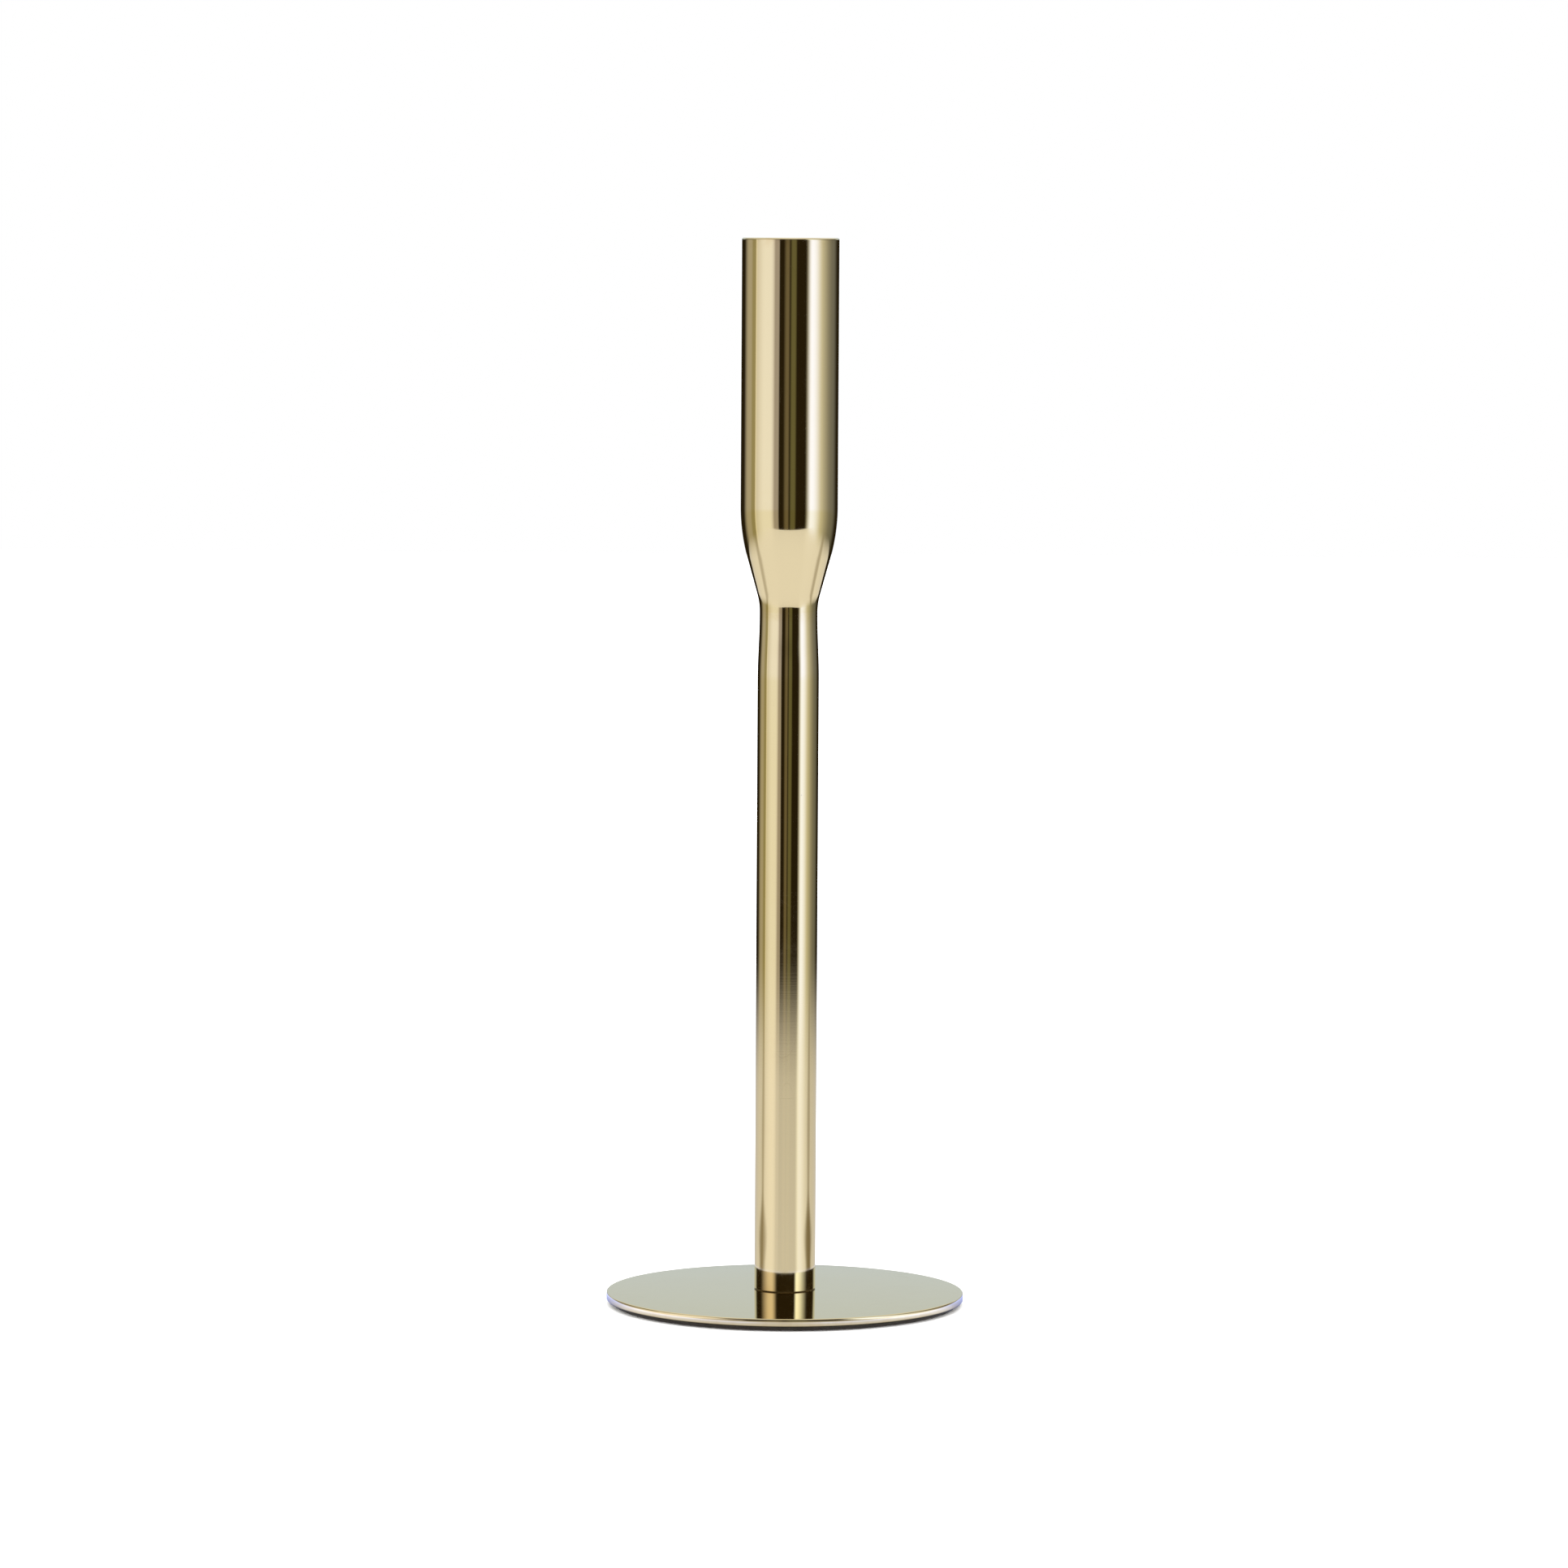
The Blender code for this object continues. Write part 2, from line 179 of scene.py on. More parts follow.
class CandlestickSizes(bpy.types.PropertyGroup):
    """Sizes of the candlestick's pieces."""

    rim_level: metres("Rim Level", "Height of the cup's rim", RIM_LEVEL)
    cup_radius: metres("Cup Radius", "Outer radius", BOX["socket_shell"][1].x)
    cup_wall: metres("Cup Wall", "Thickness of the cup's side", 0.0018)
    cup_straight: metres("Cup Straight", "Rim to the start of the shoulder", 0.0745)
    rim_rounding: metres("Rim Rounding", "Radius on the rim's two edges", 0.0005)
    ledge_width: metres("Ledge Width", "Step that the seat rests on", 0.0008)
    shoulder_radius: metres("Shoulder Radius", "Rounding from cup to cone", 0.053)
    cone_angle: turn("Cone Angle", "Between the cone's side and the axis", 15.6)
    neck_fillet: metres("Neck Fillet", "Rounding from cone to neck", 0.0185)
    neck_bore_length: metres("Neck Bore", "Length of the bush's bore", 0.012)
    stem_radius: metres("Stem Radius", "Outer radius", BOX["stem_tube"][1].x)
    stem_wall: metres("Stem Wall", "Thickness of the tube", 0.0015)
    necking: metres("Necking", "How far the stem's top is drawn in", 0.00048)
    neck_land: metres("Neck Land", "Plain length on each side of the joint", 0.0004)
    flare_length: metres("Flare Length", "Over which the neck opens to the stem", 0.0180)
    base_radius: metres("Base Radius", "Outer radius", BOX["base_disc"][1].x)
    base_edge: metres("Base Edge", "Thickness of the base at its edge", 0.0024)
    base_top_rounding: metres("Base Top Rounding", "Radius on the upper edge", 0.0003)
    base_rounding: metres("Base Rounding", "Radius on the lower edge", 0.0006)
    base_seat: metres("Base Seat", "Flat ring round the stem's foot", 0.0004)
    felt_radius: metres("Felt Radius", "Outer radius", BOX["felt_pad"][1].x)
    felt_hole: metres("Felt Hole", "Radius of the hole round the screw", 0.0081)
    screw_head: metres("Screw Head", "Radius of the head", BOX["base_screw"][1].x)
    screw_radius: metres("Screw Radius", "At the middle of the thread", 0.00225)
    stud_radius: metres("Stud Radius", "At the middle of the thread", 0.0027)
    key_width: metres("Key Width", "Across the flats of the key socket", 0.003)


class CandlestickColours(bpy.types.PropertyGroup):
    """Colours of the candlestick's finishes and its stage."""

    brass: paint("Brass", "Polished brass, seen face on", (0.90, 0.76, 0.44))
    worn_brass: paint("Worn Brass", "Where the polish has dulled", (0.80, 0.62, 0.33))
    plain_brass: paint("Plain Brass", "Brass as it leaves the lathe", (0.74, 0.57, 0.29))
    dust: paint("Dust", "Specks on the polish", (0.55, 0.53, 0.50))
    # painted shade: a dark line in the corner where the stem stands on the base
    foot_corner_shade: paint("Foot Corner Shade", "Dark line round the foot", (0.10, 0.065, 0.03))
    zinc: paint("Zinc", "Plated steel", (0.60, 0.61, 0.62))
    zinc_bloom: paint("Zinc Bloom", "Cloudy patches in the plating", (0.52, 0.52, 0.50))
    felt: paint("Felt", "Felt under the base", (0.036, 0.030, 0.025))
    felt_light: paint("Felt Fibres", "Loose pale fibres", (0.090, 0.078, 0.068))
    floor: paint("Floor", "Pale floor", (0.93, 0.93, 0.93))
    # the table's painted light: the glow the reflected table gives off in place of a lit top;
    # below, its painted stem shadow
    table: paint("Table", "Table top, as the brass reflects it", (0.85, 0.85, 0.92))
    table_shadow: paint("Table Shadow", "Where the stem's shadow is darkest", (0.16, 0.11, 0.02))


class CandlestickStage(bpy.types.PropertyGroup):
    """Camera and studio."""

    distance: metres("Camera Distance", "From the axis, along the floor", 1.8782)
    level: metres("Camera Level", "Height above the table", 0.298)
    pitch: turn("Camera Pitch", "Downwards", 4.621)
    yaw: turn("Camera Yaw", "To the left", 0.031)
    roll: turn("Camera Roll", "Anticlockwise", 0.33)
    lens: bpy.props.FloatProperty(
        name="Lens", description="Focal length", default=155.14, subtype="DISTANCE_CAMERA"
    )
    floor_size: metres("Floor Size", "Side of the square floor", 9.0)
    table_reach: metres("Table Reach", "From the axis to the table's edge", 0.95)


# --- Outlines in the (radius, level) half plane ----------------------------------------------
def straight(start, end, step):
    """Points on the line from start to end, no more than a step apart."""
    start, end = np.array(start, float), np.array(end, float)
    count = max(1, math.ceil(np.linalg.norm(end - start) / step - 1e-9))
    return start + (end - start) * np.linspace(0, 1, count + 1)[:, None]


def bend(centre, radius, first, last, steps):
    """Points centre + radius (cos a, sin a), with a running from first to last."""
    angles = np.linspace(first, last, steps + 1)
    return np.array(centre) + radius * np.stack([np.cos(angles), np.sin(angles)], axis=1)


def chain(*runs):
    """The runs one after another, joined by straight lines, without repeated points."""
    points = np.concatenate([np.atleast_2d(run) for run in runs])
    fresh = np.linalg.norm(np.diff(points, axis=0), axis=1) > 1e-7
    return points[np.concatenate([[True], fresh])]


# --- Meshes ----------------------------------------------------------------------------------
def mesh_from(name, points, faces):
    """A smooth-shaded mesh from an array of points and arrays of corner numbers."""
    corners = np.concatenate([group.ravel() for group in faces]).astype(np.int32)
    sizes = np.concatenate([np.full(len(group), group.shape[1]) for group in faces])
    mesh = bpy.data.meshes.new(name)
    mesh.vertices.add(len(points))
    mesh.vertices.foreach_set("co", points.astype(np.float32).ravel())
    mesh.loops.add(len(corners))
    mesh.loops.foreach_set("vertex_index", corners)
    mesh.polygons.add(len(sizes))
    mesh.polygons.foreach_set("loop_start", (np.cumsum(sizes) - sizes).astype(np.int32))
    mesh.update(calc_edges=True)
    mesh.validate()
    mesh.shade_smooth()
    mesh.set_sharp_from_angle(angle=SHARP)
    return mesh


def turned_mesh(name, radii, levels):
    """x = r cos a, y = r sin a, z = level, with a row for each outline point.

    Radii and levels are grids of rows by columns, and the last column joins the first. The
    outline runs down the outer side. If it starts on the axis it also ends there, each time
    in a single point; otherwise its last row joins its first.
    """
    rows, columns = radii.shape
    angles = np.arange(columns) * TAU / columns
    grid = np.stack([radii * np.cos(angles), radii * np.sin(angles), levels], axis=-1)
    if radii[0, 0] > 0:
        points = grid.reshape(-1, 3)
        upper = np.arange(rows * columns).reshape(rows, columns)
        lower = np.roll(upper, -1, axis=0)
        caps = []
    else:
        points = np.concatenate([grid[0, :1], grid[1:-1].reshape(-1, 3), grid[-1, :1]])
        inner = np.arange((rows - 2) * columns).reshape(rows - 2, columns) + 1
        upper, lower = inner[:-1], inner[1:]
        first, last = np.zeros(columns, int), np.full(columns, len(points) - 1)
        caps = [
            np.stack([first, inner[0], np.roll(inner[0], -1)], axis=-1),
            np.stack([inner[-1], last, np.roll(inner[-1], -1)], axis=-1),
        ]
    quads = np.stack(
        [upper, lower, np.roll(lower, -1, axis=1), np.roll(upper, -1, axis=1)], axis=-1
    )
    return mesh_from(name, points, [quads.reshape(-1, 4)] + caps)


def flat_mesh(name, half, level):
    """A level square sheet of SHEET_CELLS by SHEET_CELLS faces, centred on the axis."""
    marks = np.linspace(-half, half, SHEET_CELLS + 1)
    u, v = np.meshgrid(marks, marks)
    points = np.stack([u, v, np.full_like(u, level)], axis=-1).reshape(-1, 3)
    index = np.arange(u.size).reshape(u.shape)
    corners = index[:-1, :-1], index[:-1, 1:], index[1:, 1:], index[1:, :-1]
    return mesh_from(name, points, [np.stack(corners, axis=-1).reshape(-1, 4)])


def spread(outline, columns):
    """The outline as two grids, radii and levels, the same in every column."""
    outline = guarded(outline)
    radii = np.repeat(outline[:, :1], columns, axis=1)
    levels = np.repeat(outline[:, 1:], columns, axis=1)
    return radii, levels


def cut_thread(radii, levels, radius, middle, pitch, above=0.0):
    """Cuts a right-hand thread into a grid's rows of this radius, above a level.

    The radius there becomes middle + depth (w - 1/2), where w is a triangle wave of
    z / pitch - a / 2 pi with its crests and roots cut flat.
    """
    rows = (np.abs(radii[:, 0] - radius) < 1e-9) & (levels[:, 0] > above)
    angles = np.arange(radii.shape[1]) * TAU / radii.shape[1]
    along = levels[rows] / pitch - angles / TAU
    wave = np.abs(2 * (along - np.floor(along)) - 1)
    radii[rows] = middle + THREAD_DEPTH * (np.clip(1.4 * wave - 0.2, 0, 1) - 0.5)


def place(name, grids, material, slot, *nodes):
    """Turns a piece and puts it in the scene, on the one body in place of its CAD nodes."""
    mesh = turned_mesh(name, *grids)
    mesh.materials.append(material)
    piece = bpy.data.objects.new(name, mesh)
    bpy.context.scene.collection.objects.link(piece)
    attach(piece, BODY)
    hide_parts(*nodes)
    return piece


# --- Outlines of the pieces ------------------------------------------------------------------
def neck_levels(sizes):
    """Levels where the shoulder starts and where the cone's fillet ends."""
    shoulder = sizes.rim_level - sizes.cup_straight
    neck_radius = sizes.stem_radius - sizes.necking
    tangents = (sizes.shoulder_radius + sizes.neck_fillet) * math.tan(sizes.cone_angle / 2)
    run = (sizes.cup_radius - neck_radius) / math.tan(sizes.cone_angle)
    return shoulder, shoulder - tangents - run


def socket_outline(sizes):
    """Cup, cone and neck: down the outer side, then up the bore to the rim.

    The side is an arc from the straight cup into the cone and a second, opposite arc from
    the cone into the straight neck.
    """
    rim, outer, rounding = sizes.rim_level, sizes.cup_radius, sizes.rim_rounding
    bore = outer - sizes.cup_wall
    neck = sizes.stem_radius - sizes.necking
    shoulder, neck_top = neck_levels(sizes)
    cone = sizes.cone_angle
    joint = JOINT_LEVEL + JOINT_HAIRLINE
    neck_bore = neck - sizes.stem_wall
    ledge = BOX["candle_seat"][0].z - FIT_CLEARANCE
    fine = rim - 0.003  # rows are closer above this level
    return chain(
        bend((outer - rounding, rim - rounding), rounding, math.pi / 2, 0, 10),
        straight((outer, rim - rounding), (outer, fine), 0.0005),
        straight((outer, fine), (outer, shoulder), 0.0015),
        bend((outer - sizes.shoulder_radius, shoulder), sizes.shoulder_radius, 0, -cone, 30),
        bend((neck + sizes.neck_fillet, neck_top), sizes.neck_fillet,
             math.pi - cone, math.pi, 22),
        (neck, joint),
        straight((neck_bore, joint), (neck_bore, joint + sizes.neck_bore_length), 0.002),
        straight((bore - sizes.ledge_width, shoulder), (bore - sizes.ledge_width, ledge), 0.004),
        straight((bore, ledge), (bore, rim - rounding), 0.0015),
        bend((bore + rounding, rim - rounding), rounding, math.pi, math.pi / 2, 8),
        straight((bore + rounding, rim), (outer - rounding, rim), 0.0002),
    )[:-1]


def guarded(outline):
    """Adds a row close to each corner on its long sides, so that their shading stays true.

    Each straight run is also cut into steps of no more than LONGEST_ROW.
    """
    steps = np.diff(outline, axis=0)
    lengths = np.linalg.norm(steps, axis=1)
    ways = steps / lengths[:, None]
    turns = np.sum(ways[:-1] * ways[1:], axis=1) < math.cos(CORNER)
    corner = np.concatenate([[1.0], turns, [1.0]])
    runs = []
    for index, way in enumerate(ways):
        start, end = outline[index], outline[index + 1]
        step = way * (GUARD if lengths[index] > 5 * GUARD else 0.0)
        inner = straight(start + corner[index] * step, end - corner[index + 1] * step, LONGEST_ROW)
        runs.append(chain(start, inner, end))
    return chain(*runs)


def seat_outline(sizes):
    """The candle's seat: a disc with a drilled centre and softened edges."""
    radius = sizes.cup_radius - sizes.cup_wall - FIT_CLEARANCE
    top, bottom = SEAT_LEVEL, BOX["candle_seat"][0].z
    upper, lower = 0.0004, 0.0002  # roundings of its two edges
    return chain(
        (0.0, top - CENTRE_DEPTH),
        straight((0.0003, top - 0.00058), (0.0014, top - 0.00006), 0.0002),
        straight((CENTRE_RADIUS, top), (radius - upper, top), 0.0004),
        bend((radius - upper, top - upper), upper, math.pi / 2, 0, 6),
        bend((radius - lower, bottom + lower), lower, 0, -math.pi / 2, 3),
        (0.0, bottom),
    )


def flare(sizes, inset, steps):
    """The stem's drawn-in end: its radius opens with half a cosine wave."""
    share = np.linspace(0, 1, steps + 1)
    opened = sizes.necking * (1 - np.cos(math.pi * share)) / 2
    top = JOINT_LEVEL - sizes.neck_land
    neck = sizes.stem_radius - sizes.necking
    return np.stack([neck + opened - inset, top - sizes.flare_length * share], axis=1)


def stem_outline(sizes):
    """The tube: down the outer side from the joint to the base, then up the bore."""
    neck = sizes.stem_radius - sizes.necking
    joint = JOINT_LEVEL - JOINT_HAIRLINE
    outside = flare(sizes, 0.0, 44)
    inside = flare(sizes, sizes.stem_wall, 20)[::-1]
    foot = BASE_TOP + JOINT_HAIRLINE
    outer, inner = sizes.stem_radius, sizes.stem_radius - sizes.stem_wall
    fine = foot + 0.002  # rows are closer below this level
    return chain(
        (neck, joint),
        outside,
        straight(outside[-1], (outer, fine), 0.0025),
        straight((outer, fine), (outer, foot + FOOT_BREAK), 0.0005),
        bend((outer - FOOT_BREAK, foot + FOOT_BREAK), FOOT_BREAK, 0, -math.pi / 2, 5),
        straight((inner, foot), inside[0], 0.01),
        inside,
        (neck - sizes.stem_wall, joint),
    )


def base_outline(sizes):
    """The base: crowned top, bulging edge, flat underside and a countersunk hole.

    The top falls with the square of the distance from the flat ring round the stem. The
    edge between its two roundings is a shallow arc that leans by side at each end.
    """
    rounding, upper, radius = sizes.base_rounding, sizes.base_top_rounding, sizes.base_radius
    seat = sizes.stem_radius + sizes.base_seat
    edge_top = BASE_BOTTOM + sizes.base_edge
    share = np.linspace(0, 1, 73)
    side = math.radians(7)
    top_start = edge_top - upper * (1 - math.sin(side))
    low_start = BASE_BOTTOM + rounding * (1 - math.sin(side))
    sweep = (top_start - low_start) / (2 * math.sin(side))
    bulge = sweep * (1 - math.cos(side))
    upper_corner = radius - bulge - upper * math.cos(side)
    lower_corner = radius - bulge - rounding * math.cos(side)
    crown = np.stack(
        [seat + (upper_corner - seat) * share,
         BASE_TOP - (BASE_TOP - edge_top) * share ** 2], axis=1
    )
    countersink = sizes.screw_head + HOLE_ROOM
    hole = sizes.screw_radius + HOLE_ROOM
    depth = countersink - hole
    return chain(
        crown,
        bend((upper_corner, edge_top - upper), upper, math.pi / 2, side, 10),
        bend((radius - sweep, (top_start + low_start) / 2), sweep, side, -side, 12),
        bend((lower_corner, BASE_BOTTOM + rounding), rounding, -side, -math.pi / 2, 12),
        straight((lower_corner, BASE_BOTTOM), (countersink, BASE_BOTTOM), 0.002),
        straight((countersink, BASE_BOTTOM), (hole, BASE_BOTTOM + depth), 0.0005),
        straight((hole, BASE_BOTTOM + depth), (hole, BASE_TOP), 0.0008),
        straight((hole, BASE_TOP), (seat, BASE_TOP), 0.0012),
    )[:-1]


def felt_grid(sizes):
    """The felt ring as grids of radii and levels.

    Its section is a flat rounded bar. Sums of sine waves round the ring, with fixed phases,
    roughen the cut edges and the underside beside them.
    """
    outer, inner, top = sizes.felt_radius, sizes.felt_hole, BASE_BOTTOM - 0.00001
    soft = FELT_EDGE
    outline = chain(
        straight((inner + soft, top), (outer - soft, top), 0.003),
        bend((outer - soft, top - soft), soft, math.pi / 2, 0, 4),
        bend((outer - soft, soft), soft, 0, -math.pi / 2, 5),
        straight((outer - soft, 0), (inner + soft, 0), 0.0015),
        bend((inner + soft, soft), soft, -math.pi / 2, -math.pi, 5),
        bend((inner + soft, top - soft), soft, math.pi, math.pi / 2, 4),
    )[:-1]
    radii, levels = spread(outline, AROUND_FELT)
    outline = np.stack([radii[:, 0], levels[:, 0]], axis=1)
    draw = np.random.default_rng(11)
    angles = np.arange(AROUND_FELT) * TAU / AROUND_FELT
    waves = draw.integers(5, 90, FELT_WAVES)
    phases = draw.uniform(0, TAU, (FELT_WAVES, 2))
    row = np.arange(len(outline))[:, None, None]
    ripple = np.sin(waves * angles[None, :, None] + phases[:, 0] + row * phases[:, 1])
    ripple = 1 + np.clip(ripple.sum(axis=2) / math.sqrt(FELT_WAVES), -1, 1)
    near_hole = outline[:, :1] < inner + 2 * soft
    near_edge = (outline[:, :1] > outer - 2 * soft) | near_hole
    radii -= np.where(near_edge, 0.00004 * ripple, 0)
    radii = np.where(near_hole, radii + 0.00008, radii)
    under = (outline[:, 1:] < soft) & near_edge
    levels += np.where(under, 0.00003 * ripple, 0)
    return radii, levels


def bush_grid(radius, mouth, hole, tip, pitch):
    """A tapped bush as grids: it opens at the mouth, and a screw's tip lies at the tip level."""
    way = math.copysign(1, tip - mouth)
    depth = abs(tip - mouth) + TIP_ROOM
    end = depth + DRILL_POINT + BUSH_END
    thread = straight((hole, depth), (hole, 0.0005), pitch / 10)
    outline = chain(
        (0.0, depth + DRILL_POINT),
        thread,
        straight((hole + 0.0004, 0.0), (radius - BUSH_CHAMFER, 0.0), 0.001),
        straight((radius, BUSH_CHAMFER), (radius, end - BUSH_CHAMFER), 0.001),
        straight((radius - BUSH_CHAMFER, end), (0.0, end), 0.002),
    )
    outline[:, 1] = mouth + way * outline[:, 1]
    if way > 0:
        outline = outline[::-1]
    radii, levels = spread(outline, AROUND_SCREW)
    cut_thread(radii, levels, hole, hole + THREAD_PLAY, pitch)
    return radii, levels


def stud_grid(sizes):
    """The headless screw across the joint: threaded from end to end."""
    top, bottom = BOX["neck_stud"][1].z, BOX["neck_stud"][0].z
    radius, point = sizes.stud_radius, SCREW_POINT
    outline = chain(
        (0.0, top),
        straight((radius - 0.0008, top), (radius - 0.0002, top - point), 0.0002),
        straight((radius, top - point), (radius, bottom + point), STUD_PITCH / 10),
        straight((radius - 0.0002, bottom + point), (radius - 0.0008, bottom), 0.0002),
        (0.0, bottom),
    )
    radii, levels = spread(outline, AROUND_SCREW)
    cut_thread(radii, levels, radius, radius, STUD_PITCH)
    return radii, levels


def screw_grid(sizes):
    """The countersunk screw: tip, thread, conical head and, from below, its key socket.

    In the key socket's rows the radius is the hexagon's, apothem / cos(a'), where a' is the
    angle from the middle of the nearest flat.
    """
    tip, bottom = BOX["base_screw"][1].z, BOX["base_screw"][0].z
    radius, head, point = sizes.screw_radius, sizes.screw_head, SCREW_POINT
    apothem = sizes.key_width / 2
    edge = bottom + 0.0002
    under_head = edge + head - radius
    floor = bottom + KEY_DEPTH
    outline = chain(
        (0.0, tip),
        straight((radius - 0.0007, tip), (radius - 0.0002, tip - point), 0.0002),
        straight((radius, tip - point), (radius, under_head + 0.001), SCREW_PITCH / 10),
        straight((radius - 0.0001, under_head + 0.001), (radius - 0.0001, under_head), 0.0005),
        straight((radius, under_head - 0.0001), (head - 0.00008, edge + 0.00008), 0.0005),
        bend((head - 0.0001, edge), 0.0001, math.pi / 4, 0, 3),
        bend((head - 0.0001, bottom + 0.0001), 0.0001, 0, -math.pi / 2, 4),
        straight((head - 0.0002, bottom), (apothem + 0.0005, bottom), 0.0005),
    )
    key = np.array([(apothem + 0.00012, bottom), (apothem, bottom + 0.00012),
                    (apothem, floor - 0.00001), (apothem - 0.00005, floor)])
    end = np.array([(0.0, floor + 0.0005)])
    outline = guarded(outline)
    radii, levels = (
        np.repeat(column[:, None], AROUND_SCREW, axis=1)
        for column in np.concatenate([outline, key, end]).T
    )
    cut_thread(radii, levels, radius, radius, SCREW_PITCH, under_head + 0.0009)
    angles = np.arange(AROUND_SCREW) * TAU / AROUND_SCREW
    from_flat = (angles + TAU / 12) % (TAU / 6) - TAU / 12
    radii[len(outline):-1] /= np.cos(from_flat)
    return radii, levels


# --- Node helpers ----------------------------------------------------------------------------
def plug(tree, value, socket):
    """Links an output to the socket, or sets the socket to a plain value."""
    if isinstance(value, bpy.types.NodeSocket):
        tree.links.new(value, socket)
    else:
        socket.default_value = value


def figure(tree, operation, *values, clamp=False):
    """A Math node's result."""
    node = tree.nodes.new("ShaderNodeMath")
    node.operation = operation
    node.use_clamp = clamp
    for value, socket in zip(values, node.inputs):
        plug(tree, value, socket)
    return node.outputs[0]


def times(tree, first, second):
    """One value times another."""
    return figure(tree, "MULTIPLY", first, second)


def distance(tree, value, other):
    """How far one value is from another, on either side."""
    return figure(tree, "ABSOLUTE", figure(tree, "SUBTRACT", value, other))


def hypotenuse(tree, x, y):
    """The square root of x squared plus y squared."""
    return figure(tree, "SQRT", figure(tree, "ADD", times(tree, x, x), times(tree, y, y)))


def ease(tree, value, low, high, start=0.0, end=1.0):
    """A smooth step from start to end as the value goes from low to high."""
    node = tree.nodes.new("ShaderNodeMapRange")
    node.interpolation_type = "SMOOTHSTEP"
    for name, given in (("Value", value), ("From Min", low), ("From Max", high),
                        ("To Min", start), ("To Max", end)):
        plug(tree, given, node.inputs[name])
    return node.outputs["Result"]


def hump(tree, value, rise, fall, after=0.0):
    """A smooth step up to 1 over the stretch called rise, and one down over fall."""
    return times(tree, ease(tree, value, *rise), ease(tree, value, *fall, 1.0, after))


def mixed(tree, factor, first, second):
    """A colour between two."""
    node = tree.nodes.new("ShaderNodeMix")
    node.data_type = "RGBA"
    for value, socket in ((factor, 0), (first, 6), (second, 7)):
        plug(tree, value, node.inputs[socket])
    return node.outputs[2]


def blended(tree, factor, first, second):
    """A shader between two."""
    node = tree.nodes.new("ShaderNodeMixShader")
    for value, socket in zip((factor, first, second), node.inputs):
        plug(tree, value, socket)
    return node.outputs[0]


def nothing(tree):
    """A shader that shows what lies behind it."""
    return tree.nodes.new("ShaderNodeBsdfTransparent").outputs[0]


def vector(tree, operation, first, second):
    """A Vector Math node's vector."""
    node = tree.nodes.new("ShaderNodeVectorMath")
    node.operation = operation
    plug(tree, first, node.inputs[0])
    plug(tree, second, node.inputs["Scale" if operation == "SCALE" else 1])
    return node.outputs[0]


def scaled(tree, colour, value):
    """A colour or a vector times a value."""
    return vector(tree, "SCALE", colour, value)


def apart(tree, coordinate):
    """The x, y and z of a vector."""
    node = tree.nodes.new("ShaderNodeSeparateXYZ")
    plug(tree, coordinate, node.inputs[0])
    return node.outputs[0], node.outputs[1], node.outputs[2]


def together(tree, x, y, z):
    """A vector from three values."""
    node = tree.nodes.new("ShaderNodeCombineXYZ")
    for value, socket in zip((x, y, z), node.inputs):
        plug(tree, value, socket)
    return node.outputs[0]


def noise(tree, coordinate, scale, detail=2.0, roughness=0.5):
    """A Noise texture's grey value."""
    node = tree.nodes.new("ShaderNodeTexNoise")
    for name, given in (("Vector", coordinate), ("Scale", scale), ("Detail", detail),
                        ("Roughness", roughness)):
        plug(tree, given, node.inputs[name])
    return node.outputs[0]


def places(tree):
    """Object coordinates."""
    return tree.nodes.new("ShaderNodeTexCoord").outputs["Object"]


def bearing(tree, x, y):
    """Degrees round the axis from the camera's side, to its left negative."""
    return figure(tree, "DEGREES", figure(tree, "ARCTAN2", x, times(tree, y, -1.0)))


def opaque(colour):
    """The colour with an alpha of 1."""
    return (*colour, 1.0)


def new_group(name, inputs, outputs):
    """An empty shader node group, with its input and output nodes' sockets."""
    group = bpy.data.node_groups.new(name, "ShaderNodeTree")
    kinds = {"value": "NodeSocketFloat", "colour": "NodeSocketColor"}
    for title, kind, default in inputs:
        made = group.interface.new_socket(title, in_out="INPUT", socket_type=kinds[kind])
        made.default_value = default
    for title, kind in outputs:
        group.interface.new_socket(title, in_out="OUTPUT", socket_type=kinds[kind])
    given = group.nodes.new("NodeGroupInput").outputs
    wanted = group.nodes.new("NodeGroupOutput").inputs
    return group, given, wanted


def use(tree, effect, **values):
    """Places a shared effect, built the first time, and returns its outputs.

    Underscores in the values' names stand for spaces.
    """
    node = tree.nodes.new("ShaderNodeGroup")
    node.node_tree = bpy.data.node_groups.get(effect) or EFFECTS[effect]()
    for name, value in values.items():
        plug(tree, value, node.inputs[name.replace("_", " ").title()])
    return node.outputs


# --- Shared effects --------------------------------------------------------------------------
def lathe_lines_group():
    """Fine lines round the axis, left by a lathe or a polishing wheel.

    Noise that runs fast with z + r and slowly with the direction (x, y) / r.
    """
    group, given, wanted = new_group(
        "lathe_lines",
        [("Lines", "value", 4000.0), ("Wander", "value", 0.6)],
        [("Height", "value")],
    )
    x, y, z = apart(group, places(group))
    radius = figure(group, "MAXIMUM", hypotenuse(group, x, y), 0.0001)
    slow = figure(group, "DIVIDE", given["Wander"], radius)
    fast = times(group, figure(group, "ADD", z, radius), given["Lines"])
    where = together(group, times(group, x, slow), times(group, y, slow), fast)
    group.links.new(noise(group, where, 1.0, 4.0, 0.62), wanted["Height"])
    return group


def handling_group():
    """Soft smudges where the candlestick has been held: two noises, one inside the other."""
    group, given, wanted = new_group(
        "handling_marks", [("Size", "value", 0.02)], [("Mask", "value")]
    )
    scale = figure(group, "DIVIDE", 1.0, given["Size"])
    here = places(group)
    wide = ease(group, noise(group, here, scale, 3.0, 0.55), 0.48, 0.68)
    fine = noise(group, here, times(group, scale, 9.0), 3.0, 0.6)
    mask = figure(group, "MULTIPLY", wide, ease(group, fine, 0.3, 0.7), clamp=True)
    group.links.new(mask, wanted["Mask"])
    return group


